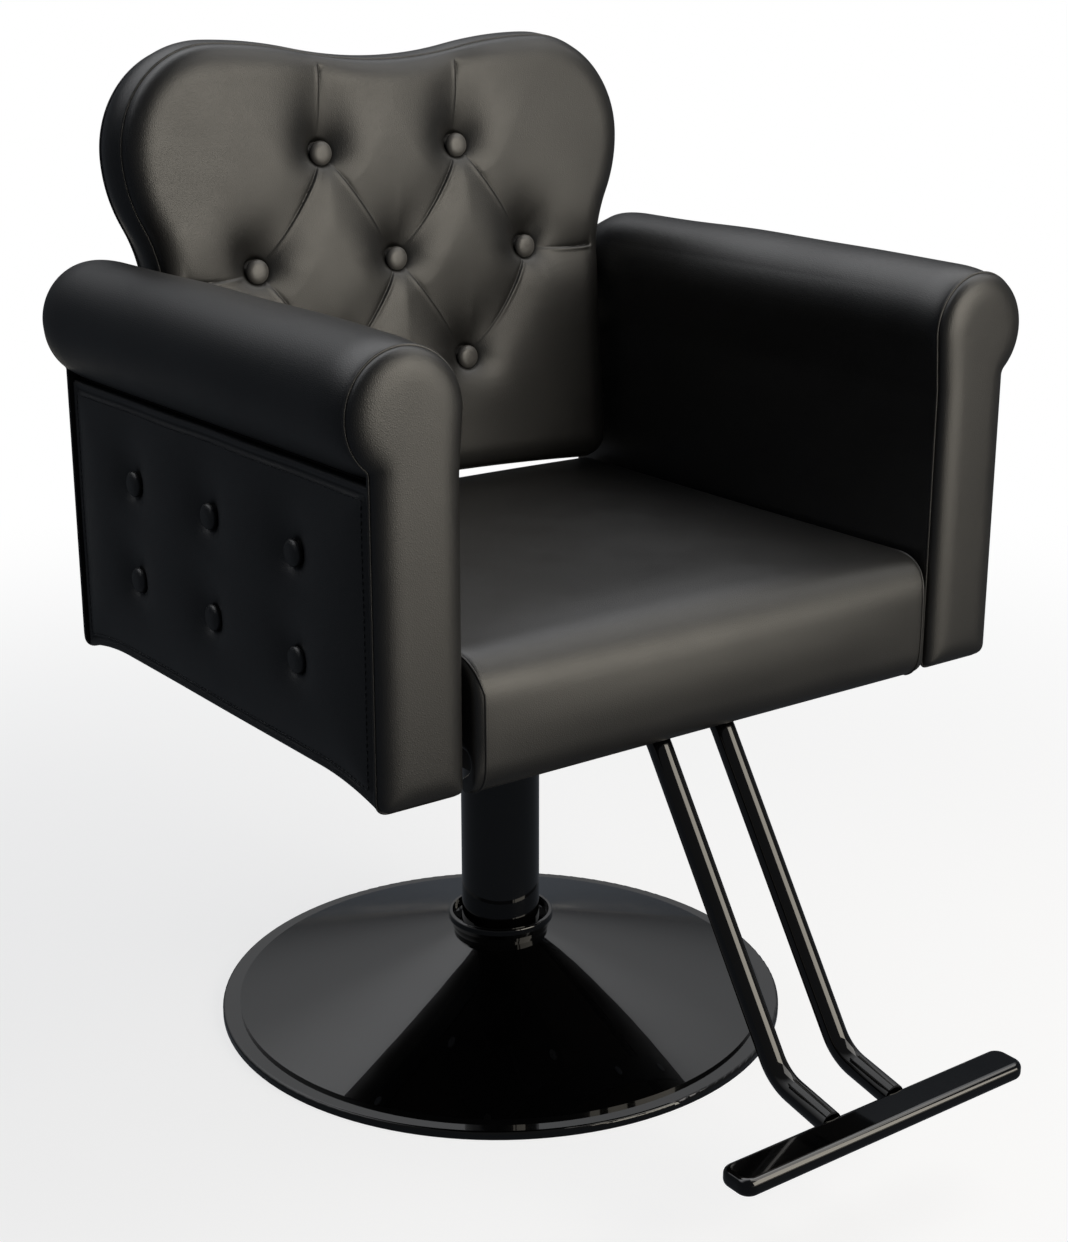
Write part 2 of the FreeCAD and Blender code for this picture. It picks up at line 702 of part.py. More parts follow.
def make_pedal():
    inside = "(pedal_half_width + pedal_side_gap)"
    ear_low = "(pedal_pivot_height - ear_height / 2)"
    ear_end = "(pedal_pivot_out + pedal_boss_radius)"
    ears = new_body("pedal_bracket")
    plan = sketch_on(ears, "XY_Plane", ear_low)
    root = "sqrt((column_radius + running_fit)^2 - {}^2)"
    outer_y = f"({inside} + ear_thickness)"
    outline(plan, [
        (root.format(outer_y), f"-{outer_y}", "column_radius + running_fit", "left"),
        (root.format(outer_y), outer_y),
        (ear_end, outer_y),
        (ear_end, f"-{outer_y}"),
    ])
    pad(ears, plan, "ear_height")
    slot = sketch_on(ears, "XY_Plane", f"{ear_low} + ear_thickness")
    rectangle(slot, "0", f"-{inside}", f"{ear_end} + cut_overrun", inside)
    pocket(ears, slot, "ear_height", reverse=True)
    toe = sketch_on(ears, "XY_Plane", ear_low)
    rectangle(toe, "column_radius + ear_thickness", f"-{inside}", f"{ear_end} + cut_overrun", inside)
    pocket(ears, toe, "ear_thickness", reverse=True)
    bore = sketch_on(ears, "XZ_Plane")
    circle(bore, "pedal_pivot_out", "pedal_pivot_height", "pedal_pin_radius + running_fit")
    drill = pocket(ears, bore, f"2 * {outer_y}")
    drill.Midplane = True
    doc.recompute()
    node("pedal_bracket", turned_to_pedal(ears))

    pin = new_body("pedal_pin")
    end = sketch_on(pin, "XZ_Plane", f"-({outer_y} + pedal_pin_end)")
    circle(end, "pedal_pivot_out", "pedal_pivot_height", "pedal_pin_radius")
    pad(pin, end, f"2 * ({outer_y} + pedal_pin_end)")
    node("pedal_pin", turned_to_pedal(pin))

    lever = new_body("pedal_lever")
    side = sketch_on(lever, "XZ_Plane", "-pedal_half_width")
    bar_low = "(pedal_pivot_height - pedal_bar / 2)"
    bar_high = "(pedal_pivot_height + pedal_bar / 2)"
    boss_run = "sqrt(pedal_boss_radius^2 - (pedal_bar / 2)^2)"
    nose_run = "sqrt(pedal_boss_radius^2 - pedal_nose_radius^2)"
    nose_low = "(pedal_pivot_height - pedal_nose_radius)"
    nose_high = "(pedal_pivot_height + pedal_nose_radius)"
    outline(side, [
        ("plunger_out", nose_low),
        (f"pedal_pivot_out - {nose_run}", nose_low, "pedal_boss_radius", "left"),
        (f"pedal_pivot_out + {boss_run}", bar_low),
        ("pedal_reach", bar_low),
        ("pedal_reach", bar_high),
        (f"pedal_pivot_out + {boss_run}", bar_high, "pedal_boss_radius", "left"),
        (f"pedal_pivot_out - {nose_run}", nose_high),
        ("plunger_out", nose_high, "pedal_nose_radius", "left"),
        ("plunger_out - pedal_nose_radius", "pedal_pivot_height", "pedal_nose_radius", "left"),
    ])
    pad(lever, side, "2 * pedal_half_width")
    tread = sketch_on(lever, "XY_Plane", bar_high)
    rectangle(
        tread, "pedal_reach - pedal_plate_length", "-pedal_plate_width / 2",
        "pedal_reach", "pedal_plate_width / 2")
    pad(lever, tread, "pedal_plate_thickness")
    eye = sketch_on(lever, "XZ_Plane")
    circle(eye, "pedal_pivot_out", "pedal_pivot_height", "pedal_pin_radius + running_fit")
    drill = pocket(lever, eye, "2 * (pedal_half_width + cut_overrun)")
    drill.Midplane = True
    doc.recompute()
    node("pedal_lever", turned_to_pedal(lever))

    tread_pad = new_body("pedal_tread")
    sole = sketch_on(tread_pad, "XY_Plane", "pedal_plate_top")
    rectangle(
        sole, "pedal_reach - pedal_plate_length", "-pedal_plate_width / 2",
        "pedal_reach", "pedal_plate_width / 2")
    pad(tread_pad, sole, "pedal_pad_thickness")
    groove = sketch_on(tread_pad, "XZ_Plane", "-pedal_plate_width")
    pad_top = "(pedal_plate_top + pedal_pad_thickness)"
    pitch = "(pedal_plate_length / 8)"
    for step in (1, 3, 5):
        low = f"pedal_reach - pedal_plate_length + {step} * {pitch} + {pitch} / 2"
        rectangle(groove, low, f"{pad_top} - pedal_rib", f"{low} + {pitch}", f"{pad_top} + cut_overrun")
    pocket(tread_pad, groove, "2 * pedal_plate_width", reverse=True)
    node("pedal_tread", turned_to_pedal(tread_pad))


def at_plunger(body):
    """Stands a body that was turned about the column's axis on the plunger's axis instead."""
    bind(body, "Placement.Base.x", "plunger_out * cos(pedal_heading)")
    bind(body, "Placement.Base.y", "plunger_out * sin(pedal_heading)")
    doc.recompute()
    return body


def make_plunger():
    head_top = "(plunger_foot + plunger_head_height)"
    node("pump_plunger", at_plunger(revolved("pump_plunger", [
        ("0", "plunger_foot"),
        ("plunger_head_radius", "plunger_foot"),
        ("plunger_head_radius", head_top),
        ("plunger_radius", head_top),
        ("plunger_radius", "plunger_foot + plunger_height"),
        ("0", "plunger_foot + plunger_height"),
    ])))
    bore = "(plunger_radius + running_fit)"
    node("pump_barrel", at_plunger(revolved("pump_barrel", [
        (bore, "barrel_bottom"),
        ("barrel_radius", "barrel_bottom"),
        ("barrel_radius", "barrel_top"),
        ("0", "barrel_top"),
        ("0", "barrel_top - barrel_end"),
        (bore, "barrel_top - barrel_end"),
    ])))
    spring = new_body("plunger_spring")
    wire = sketch_on(spring, "XZ_Plane")
    first_coil = f"({head_top} + spring_wire + working_gap / 3)"
    circle(wire, "spring_radius", first_coil, "spring_wire")
    coil = spring.newObject("PartDesign::AdditiveHelix", "coil")
    coil.Profile = wire
    coil.ReferenceAxis = (origin_feature(spring, "Z_Axis"), [""])
    coil.Mode = "height-turns-angle"
    bind(coil, "Height", f"barrel_bottom - {first_coil} - spring_wire - working_gap / 3")
    bind(coil, "Turns", "spring_turns")
    doc.recompute()
    node("plunger_spring", at_plunger(spring))


# Seat: board, cushion, swivel hub, mounting plate and cross straps

def make_seat():
    board = new_body("seat_board")
    plan = sketch_on(board, "XY_Plane", "underside_height")
    rectangle(plan, "-board_half_width", "-board_front", "board_half_width", "board_rear")
    pad(board, plan, "board_thickness")
    rounded(board, "board_corner", lambda edge: near(edge.BoundBox.ZLength, number("board_thickness"))
            and edge.BoundBox.YMin > 0)

    cushion = new_body("seat_cushion")
    side = sketch_on(cushion, "YZ_Plane", "-seat_half_width")
    outline(side, [
        ("-seat_front", "apron_bottom"),
        ("-board_front", "apron_bottom"),
        ("-board_front", "board_top"),
        ("seat_rear", "board_top"),
        ("seat_rear", "seat_top - seat_rear_round", "seat_rear_round", "left"),
        ("seat_rear - seat_rear_round", "seat_top"),
        ("-(seat_front - seat_front_round)", "seat_top", "seat_front_round", "left"),
        ("-seat_front", "seat_top - seat_front_round"),
    ])
    pad(cushion, side, "2 * seat_half_width")
    top_low = number("board_top")
    rounded(cushion, "seat_side_round", lambda edge: near(edge.BoundBox.XLength, 0)
            and near(abs(edge.BoundBox.XMin), number("seat_half_width"))
            and (edge.BoundBox.ZMin > top_low or edge.BoundBox.YMax < -number("board_front") - CLOSE))
    node("seat_cushion", cushion)

    plate = new_body("seat_plate")
    plan = sketch_on(plate, "XY_Plane", "plate_bottom")
    rectangle(plan, "-plate_half_width", "-plate_half_depth", "plate_half_width", "plate_half_depth")
    circle(plan, "0", "0", "swivel_radius + plate_hole_gap")
    pad(plate, plan, "plate_thickness")
    rounded(plate, "plate_corner", lambda edge: near(edge.BoundBox.ZLength, number("plate_thickness"))
            and near(abs(edge.BoundBox.XMin), number("plate_half_width")))
    plate_bolts = fasteners(
        "seat_plate_bolts",
        [(f"{x} * plate_bolt_x", f"{y} * plate_bolt_y", "plate_bottom") for x in (-1, 1) for y in (-1, 1)],
        Z_AXIS, "bolt", "plate_thickness + thread_grip")
    cut_from("seat_plate", plate, plate_bolts)

    hub = revolved("swivel_hub", [
        ("swivel_radius + running_fit", "hub_bottom"),
        ("hub_radius - hub_edge", "hub_bottom"),
        ("hub_radius", "hub_bottom + hub_edge"),
        ("hub_radius", "plate_bottom"),
        ("swivel_radius + running_fit", "plate_bottom"),
    ])
    rib = sketch_on(hub, "XZ_Plane", "-gusset_thickness / 2")
    outline(rib, [
        ("hub_radius - gusset_root", "plate_bottom - gusset_height"),
        ("hub_radius + gusset_reach", "plate_bottom"),
        ("hub_radius - gusset_root", "plate_bottom"),
    ])
    gusset = pad(hub, rib, "gusset_thickness")
    pattern = hub.newObject("PartDesign::PolarPattern", "gussets")
    pattern.Originals = [gusset]
    pattern.Axis = (origin_feature(hub, "Z_Axis"), [""])
    pattern.Angle = 360
    pattern.Occurrences = 4
    hub.Tip = pattern
    doc.recompute()
    node("swivel_hub", hub)

    screws = fasteners(
        "strap_screws",
        [(f"{x_sign} * {x}", f"{y_sign} * strap_from_axis", "strap_bottom")
         for y_sign in (-1, 1) for x_sign in (-1, 1) for x in ("frame_middle", "strap_screw_out")],
        Z_AXIS, "screw", "strap_thickness + thread_grip")
    for label, sign in (("front_strap", -1), ("rear_strap", 1)):
        strap = new_body(label)
        plan = sketch_on(strap, "XY_Plane", "strap_bottom")
        rectangle(
            plan, "-strap_half_length", f"{sign} * strap_from_axis - strap_half_width",
            "strap_half_length", f"{sign} * strap_from_axis + strap_half_width")
        pad(strap, plan, "strap_thickness")
        thickness = number("strap_thickness")
        rounded(strap, "strap_half_width / 3", lambda edge: near(edge.BoundBox.ZLength, thickness))
        cut_from(label, strap, screws)
    return board, plate_bolts + screws, screws


# Footrest: two bent tubes, the bar across them, and the clamps under the board

def tube_spine(sketch):
    """The tube's centre line: back under the board, down the leg, and forward along the toe."""
    height = number("tube_height")
    leg = math.radians(number("tube_leg_angle"))
    toe = math.radians(number("tube_toe_angle"))
    down = FreeCAD.Vector(-math.sin(leg), -math.cos(leg), 0)
    ahead = FreeCAD.Vector(-math.cos(toe), -math.sin(toe), 0)
    start = FreeCAD.Vector(-number("tube_back_end"), height, 0)
    top_bend = FreeCAD.Vector(-number("tube_top_bend"), height, 0)
    end = FreeCAD.Vector(-number("tube_end_out"), number("tube_end_height"), 0)
    leg_length = (end - top_bend).cross(ahead).z / down.cross(ahead).z
    low_bend = top_bend + down * leg_length
    radius = number("tube_bend_radius")

    def bend(corner, before, after):
        trim = radius * math.tan(before.getAngle(after) / 2)
        return corner - before * trim, corner + after * trim

    back = FreeCAD.Vector(-1, 0, 0)
    first, second = bend(top_bend, back, down)
    third, fourth = bend(low_bend, down, ahead)
    line = [sketch.addGeometry(Part.LineSegment(start, first), False)]
    line.append(sketch.addGeometry(arc_between(first, second, radius, "left"), False))
    line.append(sketch.addGeometry(Part.LineSegment(second, third), False))
    line.append(sketch.addGeometry(arc_between(third, fourth, radius, "right"), False))
    line.append(sketch.addGeometry(Part.LineSegment(fourth, end), False))
    joints = [
        (line[0], 2, line[1], 1), (line[1], 2, line[2], 1),
        (line[2], 2, line[3], 2), (line[3], 1, line[4], 1),
    ]
    for joint in joints:
        sketch.addConstraint(Sketcher.Constraint("Tangent", *joint))
    for geometry in (line[1], line[3]):
        index = sketch.addConstraint(Sketcher.Constraint("Radius", geometry, radius))
        bind(sketch, f"Constraints[{index}]", "tube_bend_radius")
    for geometry, formula in ((line[2], "-90 - tube_leg_angle"), (line[4], "tube_toe_angle - 180")):
        angle = math.radians(number(formula))
        index = sketch.addConstraint(Sketcher.Constraint("Angle", geometry, angle))
        bind(sketch, f"Constraints[{index}]", f"({formula}) * 1 deg")
    pin_point(sketch, line[0], 1, "-tube_back_end", "tube_height")
    pin_point(sketch, line[0], 2, "-tube_straight_end", "tube_height")
    pin_point(sketch, line[4], 2, "-tube_end_out", "tube_end_height")


def make_footrest():
    height = "tube_height"
    tube = new_body("footrest_tube")
    spine = sketch_on(tube, "YZ_Plane", "tube_spacing / 2")
    tube_spine(spine)
    section = sketch_on(tube, "XZ_Plane", "tube_back_end")
    circle(section, "tube_spacing / 2", height, "tube_radius")
    circle(section, "tube_spacing / 2", height, "tube_radius - tube_wall")
    pipe = tube.newObject("PartDesign::AdditivePipe", "pipe")
    pipe.Profile = section
    pipe.Spine = (spine, [])
    doc.recompute()
    mitre = sketch_on(tube, "YZ_Plane")
    rectangle(
        mitre, "-(bar_rear + bar_depth)", "bar_centre_height - bar_depth",
        "-bar_rear", "bar_centre_height + bar_depth")
    pocket(tube, mitre, "tube_spacing", reverse=True)
    left = node("left_footrest_tube", tube)
    mirrored("right_footrest_tube", left)

    bar = new_body("footrest_bar")
    profile = sketch_on(bar, "YZ_Plane", "-bar_half_length")
    rectangle(
        profile, "-(bar_rear + bar_depth)", "bar_centre_height - bar_thickness / 2",
        "-bar_rear", "bar_centre_height + bar_thickness / 2")
    pad(bar, profile, "2 * bar_half_length")
    rounded(bar, "bar_corner", lambda edge: near(edge.BoundBox.ZLength, number("bar_thickness")))
    rear = -number("bar_rear")
    rounded(bar, "bar_round", lambda edge: near(edge.BoundBox.ZLength, 0)
            and edge.BoundBox.YMin < rear - number("bar_depth / 2"))
    node("footrest_bar", bar)

    places = [
        (f"{x} * clamp_bolt_out", f"-(clamp_first + {i} * clamp_pitch)", "clamp_bottom")
        for i in (0, 1) for x in (-1, 1)
    ]
    holes = fasteners("clamp_bolts", places, Z_AXIS, "bolt", "underside_height - clamp_bottom + thread_grip")
    bars = []
    for i in (0, 1):
        clamp = new_body("footrest_clamp")
        plan = sketch_on(clamp, "XY_Plane", "clamp_bottom")
        centre = f"(clamp_first + {i} * clamp_pitch)"
        rectangle(
            plan, "-clamp_half_length", f"-({centre} + clamp_width / 2)",
            "clamp_half_length", f"-({centre} - clamp_width / 2)")
        pad(clamp, plan, "clamp_thickness")
        rounded(clamp, "clamp_width / 4", lambda edge: near(edge.BoundBox.ZLength, number("clamp_thickness")))
        bars.append(clamp)
    cut_from("footrest_clamps", compound("clamps", bars), holes)
    return holes


# Arms: frame, pads, scroll roll, front facing and rear cover, with their tuft buttons

def arm_silhouette(sketch):
    """The arm seen from the front: a straight post, a throat outside, the scroll, and a neck inside."""
    touch_out = "roll_centre_out + throat_out * throat_share"
    touch_height = "roll_centre_height - throat_drop * throat_share"
    neck_turn = "right" if number("neck_lean") > 0 else "left"
    neck_out = "arm_inner - neck_trim * sin(neck_lean)"
    neck_height = "arm_seam_height + neck_trim * cos(neck_lean)"
    outline(sketch, [
        ("arm_inner", "apron_bottom"),
        ("arm_outer", "apron_bottom"),
        ("arm_outer", "roll_centre_height - throat_drop", "scroll_throat", "right"),
        (touch_out, touch_height, "roll_radius", "left"),
        ("roll_centre_out", "roll_centre_height + roll_radius", "roll_radius", "left"),
        ("roll_touch_out", "arm_seam_height + roll_touch_rise"),
        (neck_out, neck_height, "scroll_neck", neck_turn),
        ("arm_inner", "arm_seam_height - neck_trim"),
    ])


def make_arm(screws, back_holes):
    span = "(frame_front + frame_rear)"
    frame = new_body("arm_frame")
    side = sketch_on(frame, "YZ_Plane", "frame_inner")
    rectangle(side, "-frame_front", "underside_height", "frame_rear", "arm_seam_height")
    rectangle(
        side, "-(frame_front - arm_rail)", "underside_height + arm_rail",
        "frame_rear - arm_rail", "arm_seam_height - arm_rail")
    pad(frame, side, "frame_outer - frame_inner")
    left = {"arm_frame": cut_from("left_arm_frame", frame, screws + back_holes)}

    inner = new_body("arm_inner_pad")
    side = sketch_on(inner, "YZ_Plane", "arm_inner")
    rectangle(side, "-frame_front", "underside_height", "frame_rear", "arm_seam_height")
    pad(inner, side, "arm_inner_pad")
    left["arm_inner_pad"] = cut_from("left_arm_inner_pad", inner, back_holes)

    outer = new_body("arm_outer_pad")
    side = sketch_on(outer, "YZ_Plane", "frame_outer")
    arch = "((arch_run^2 + (underside_height - apron_bottom)^2) / (2 * (underside_height - apron_bottom)))"
    outline(side, [
        ("-frame_front", "apron_bottom", arch, "right"),
        ("-(frame_front - arch_run)", "underside_height"),
        ("frame_rear - arch_run", "underside_height", arch, "right"),
        ("frame_rear", "apron_bottom"),
        ("frame_rear", "arm_seam_height"),
        ("-frame_front", "arm_seam_height"),
    ])
    pad(outer, side, "arm_outer_pad")
    places = [
        ("arm_tuft_floor", f"arm_middle + {column} * arm_button_pitch", row)
        for row in ("arm_button_low", "arm_button_high") for column in (-1, 0, 1)
    ]
    dimples = [dimple(place, X_AXIS, "arm_tuft_mouth", "arm_tuft_depth") for place in places]
    left["arm_outer_pad"] = cut_from("left_arm_outer_pad", outer, dimples)
    buttons = [button(place, X_AXIS) for place in places]
    left["arm_buttons"] = node("left_arm_buttons", compound("arm_buttons", buttons))

    roll = new_body("arm_roll")
    front = sketch_on(roll, "XZ_Plane", "frame_front")
    outline(front, [
        ("arm_inner", "arm_seam_height"),
        ("roll_foot_out", "arm_seam_height", "roll_radius", "left"),
        ("roll_centre_out", "roll_centre_height + roll_radius", "roll_radius", "left"),
        ("roll_touch_out", "arm_seam_height + roll_touch_rise"),
    ])
    pad(roll, front, span, reverse=True)
    left["arm_roll"] = node("left_arm_roll", roll)

    for label, plane, inwards in (("arm_facing", "arm_front", True), ("arm_rear_cover", "-arm_rear", False)):
        panel = new_body(label)
        front = sketch_on(panel, "XZ_Plane", plane)
        arm_silhouette(front)
        pad(panel, front, "arm_end_pad", reverse=inwards)
        outer_face = -number(plane)
        rounded(panel, "arm_end_round", lambda edge: near(edge.BoundBox.YLength, 0)
                and near(edge.BoundBox.YMin, outer_face))
        left[label] = node(f"left_{label}", panel)

    for label, piece in left.items():
        mirrored(f"right_{label}", piece)


# Back: tufted cushion, board and rear cover, laid out upright and then leaned

def back_outline(sketch, inset):
    """The heart: a dip between two round lobes, drawn in to a waist above a straight foot."""
    half = f"(back_half_width - {inset})"
    lobe = f"(back_lobe_half_width - {inset})"
    top = f"(back_height - {inset})"
    corner = f"(back_lobe_radius - {inset})"
    foot = f"(back_foot_round - {inset})"
    peak = f"({lobe} - {corner})"
    shoulder = f"({top} - {corner})"
    crest = f"((({peak} / 2)^2 + (back_dip / 2)^2) / back_dip)"
    draw_in = f"({lobe} - {half})"
    drop = f"({shoulder} - back_waist_height)"
    flank = f"((({drop} / 2)^2 + ({draw_in} / 2)^2) / {draw_in})"
    right_side = [
        (f"{half} - {foot}", inset, foot, "left"),
        (half, f"{inset} + {foot}"),
        (half, "back_waist_height", flank, "right"),
        (f"({half} + {lobe}) / 2", f"({shoulder} + back_waist_height) / 2", flank, "left"),
        (lobe, shoulder, corner, "left"),
        (peak, top, crest, "left"),
        (f"{peak} / 2", f"{top} - back_dip / 2", crest, "right"),
    ]
    left_side = [
        (f"-{peak} / 2", f"{top} - back_dip / 2", crest, "left"),
        (f"-{peak}", top, corner, "left"),
        (f"-{lobe}", shoulder, flank, "left"),
        (f"-({half} + {lobe}) / 2", f"({shoulder} + back_waist_height) / 2", flank, "right"),
        (f"-{half}", "back_waist_height"),
        (f"-{half}", f"{inset} + {foot}", foot, "left"),
        (f"-({half} - {foot})", inset),
    ]
    dip = [("0", f"{top} - back_dip", crest, "right")]
    outline(sketch, right_side + dip + left_side)


TUFTS = [
    (column, row)
    for row, columns in enumerate(((-1, 1), (-2, 0, 2), (-1, 1)))
    for column in columns
]


def tuft_place(column, row):
    return f"{column} * tuft_columns", f"tuft_first_row + {row} * tuft_row_pitch"


def back_bolt_places():
    """Where the bolts run from the arm's frame into the edge of the back's board."""
    places = []
    for along in ("back_bolt_low", "back_bolt_high"):
        depth = f"back_foot_depth + back_board_middle * cos(back_lean) + {along} * sin(back_lean)"
        height = f"back_foot_height - back_board_middle * sin(back_lean) + {along} * cos(back_lean)"
        places.append(("frame_outer - bolt_head_height", depth, height))
    return places


def make_back():
    grip = "(frame_outer - bolt_head_height - back_half_width + 3 * thread_grip)"
    places = back_bolt_places()
    holes = fasteners("left_back_bolts", places, -X_AXIS, "bolt", grip)
    sinks = [
        cylinder("sink", place, X_AXIS, "bolt_head_radius + sink_gap", "bolt_head_height") for place in places
    ]
    mirrored("right_back_bolts", NODES["left_back_bolts"])
    right_holes = []
    for hole in holes:
        twin = doc.addObject("Part::Mirroring", "right_hole")
        twin.Source = hole
        twin.Normal = X_AXIS
        right_holes.append(twin)

    cushion = new_body("back_cushion")
    front = sketch_on(cushion, "XZ_Plane", "back_crown")
    back_outline(front, "0")
    pad(cushion, front, "back_crown + back_foam", reverse=True)
    face = -number("back_crown")
    rounded(cushion, "back_front_round", lambda edge: near(edge.BoundBox.YMax, face))
    tufts, buttons = [], []
    for column, row in TUFTS:
        x, height = tuft_place(column, row)
        place = (x, "tuft_floor", height)
        tufts.append(dimple(place, -Y_AXIS, "tuft_mouth", "tuft_depth"))
        buttons.append(button(place, -Y_AXIS))
    leaned(cut_from("back_cushion", cushion, tufts))
    leaned(node("back_buttons", compound("buttons", buttons)))

    board = new_body("back_board")
    front = sketch_on(board, "XZ_Plane", "-back_foam")
    back_outline(front, "back_board_inset")
    pad(board, front, "back_board", reverse=True)
    leaned(board)
    doc.recompute()
    cut_from("back_board", board, holes + right_holes)

    cover = new_body("back_rear_cover")
    front = sketch_on(cover, "XZ_Plane", "-back_board_rear")
    back_outline(front, "0")
    pad(cover, front, "back_rear_foam", reverse=True)
    rear = number("back_rear")
    rounded(cover, "back_rear_round", lambda edge: near(edge.BoundBox.YMin, rear))
    leaned(node("back_rear_cover", cover))
    return holes + sinks


make_base()
make_pump()
make_ram()
make_pedal()
make_plunger()
seat_board, board_holes, arm_screws = make_seat()
clamp_holes = make_footrest()
cut_from("seat_board", seat_board, board_holes + clamp_holes)
arm_holes = make_back()
make_arm(arm_screws, arm_holes)
doc.recompute()

# Every object has to have built, and every piece has to be a sound solid, before anything is written
for thing in doc.Objects:
    if "Invalid" in thing.State or "Error" in thing.State:
        raise ValueError(f"{thing.Name} ({thing.Label}) did not build: {thing.State}")
os.makedirs("parts", exist_ok=True)
for label, piece in NODES.items():
    if piece.Shape.isNull() or not piece.Shape.isValid() or not piece.Shape.Solids:
        raise ValueError(f"{label} is not a sound solid")
for label, piece in NODES.items():
    piece.Shape.exportStep(f"parts/{label}.step")
print(f"{len(NODES)} pieces written")
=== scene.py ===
# %% [markdown]
# A salon styling chair: a tufted heart-shaped back between two scroll arms, on a foot-pumped
# column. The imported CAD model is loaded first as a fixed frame, in metres. Every soft piece and
# every finish is then built around it, so nothing has to be fitted afterwards.

# %% Load the frame
import json
import math

import bmesh
import bpy
import numpy as np
from mathutils import Matrix, Vector
from mathutils.bvhtree import BVHTree
from mathutils.kdtree import KDTree


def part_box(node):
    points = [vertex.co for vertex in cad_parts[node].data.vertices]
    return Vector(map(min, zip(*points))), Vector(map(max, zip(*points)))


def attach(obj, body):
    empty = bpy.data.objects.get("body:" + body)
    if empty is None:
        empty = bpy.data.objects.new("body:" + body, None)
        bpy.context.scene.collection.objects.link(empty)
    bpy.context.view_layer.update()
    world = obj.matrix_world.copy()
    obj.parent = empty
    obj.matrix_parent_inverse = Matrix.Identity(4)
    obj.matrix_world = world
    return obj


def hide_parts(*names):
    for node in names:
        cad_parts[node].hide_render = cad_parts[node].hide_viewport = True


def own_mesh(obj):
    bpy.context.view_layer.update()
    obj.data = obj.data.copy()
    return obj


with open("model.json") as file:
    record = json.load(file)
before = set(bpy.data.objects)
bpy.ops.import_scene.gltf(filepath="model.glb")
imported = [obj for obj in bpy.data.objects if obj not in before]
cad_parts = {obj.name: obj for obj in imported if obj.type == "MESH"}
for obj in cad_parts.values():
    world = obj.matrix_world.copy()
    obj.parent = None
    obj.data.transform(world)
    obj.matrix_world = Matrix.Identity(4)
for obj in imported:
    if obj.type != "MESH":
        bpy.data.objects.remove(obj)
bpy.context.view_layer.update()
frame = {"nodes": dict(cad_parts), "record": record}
MM = 0.001

# %% [markdown]
# The camera stands in front of the chair on the sitter's right, at about chest height, and looks
# down a little. Its place and lens were worked out from the edges of the chair in the photograph.
# Blender measures a lens against the longer side of the picture, so the focal length in pixels is
# divided by the picture's height.

# %% Camera
PHOTO_WIDTH, PHOTO_HEIGHT = 1068, 1242
FOCAL_PIXELS = 2110
CAMERA_PLACE = Vector((-1.1592, -1.6319, 1.0445))
CAMERA_TURN = math.radians(36.38)
CAMERA_DIP = math.radians(17.57)


def new_object(name, data):
    """An object for the data, put in the scene."""
    made = bpy.data.objects.new(name, data)
    bpy.context.scene.collection.objects.link(made)
    return made


def add_camera():
    """Aims the camera by its turn from +Y and its dip below the horizon."""
    data = bpy.data.cameras.new("camera")
    data.lens = data.sensor_width * FOCAL_PIXELS / max(PHOTO_WIDTH, PHOTO_HEIGHT)
    level = math.cos(CAMERA_DIP)
    right = Vector((math.cos(CAMERA_TURN), -math.sin(CAMERA_TURN), 0))
    ahead = Vector((
        math.sin(CAMERA_TURN) * level,
        math.cos(CAMERA_TURN) * level,
        -math.sin(CAMERA_DIP),
    ))
    turn = Matrix((right, right.cross(ahead), -ahead)).transposed()
    camera = new_object("camera", data)
    camera.matrix_world = Matrix.Translation(CAMERA_PLACE) @ turn.to_4x4()
    bpy.context.scene.camera = camera
    return camera


camera = add_camera()
bpy.context.scene.view_settings.view_transform = "Standard"
print("camera lens", round(camera.data.lens, 2), "mm")

# %% [markdown]
# Materials and the surround are graphs of nodes. A few short helpers add a node with its settings,
# do a sum, make a smooth step or mix two shaders, so that each graph further down reads as a few
# plain lines.

# %% Node helpers
def bare_tree(owner):
    """Switches a material or a world to nodes and empties its tree."""
    owner.use_nodes = True
    owner.node_tree.nodes.clear()
    return owner.node_tree


def node(tree, kind, **settings):
    """Adds a node. A setting is one of its properties, a socket's value, or an output that feeds
    that socket."""
    made = tree.nodes.new("ShaderNode" + kind)
    for name, value in settings.items():
        socket = made.inputs.get(name.replace("_", " "))
        if socket is None:
            setattr(made, name, value)
        elif isinstance(value, bpy.types.NodeSocket):
            tree.links.new(value, socket)
        else:
            socket.default_value = value
    return made


def reckon(tree, operation, *terms, kind="Math"):
    """Works out a sum or the like of outputs and plain values."""
    made = node(tree, kind, operation=operation)
    for socket, term in zip(made.inputs, terms):
        if isinstance(term, bpy.types.NodeSocket):
            tree.links.new(term, socket)
        else:
            socket.default_value = term
    return made.outputs["Value"]


def step_up(tree, value, ends):
    """0 up to the first end, 1 from the second, and a smooth step between."""
    made = node(tree, "MapRange", interpolation_type="SMOOTHSTEP", Value=value,
                From_Min=ends[0], From_Max=ends[1])
    return made.outputs[0]


def mixed(tree, share, first, second):
    """The first shader where share is 0 and the second where it is 1."""
    made = node(tree, "MixShader")
    for socket, output in zip(made.inputs, (share, first, second)):
        tree.links.new(output, socket)
    return made.outputs[0]


def by_ray(tree, fallen, satin, sharp, seen):
    """One shader for light that falls on the chair, one each for what satin leather and a clear
    coat mirror, and one for what the camera sees."""
    path = node(tree, "LightPath").outputs
    mirrored = mixed(tree, path["Is Singular Ray"], satin, sharp)
    reached = mixed(tree, path["Is Glossy Ray"], fallen, mirrored)
    seen_share = reckon(tree, "ADD", path["Is Camera Ray"], path["Is Transmission Ray"])
    return mixed(tree, seen_share, reached, seen)


print("node helpers ready")

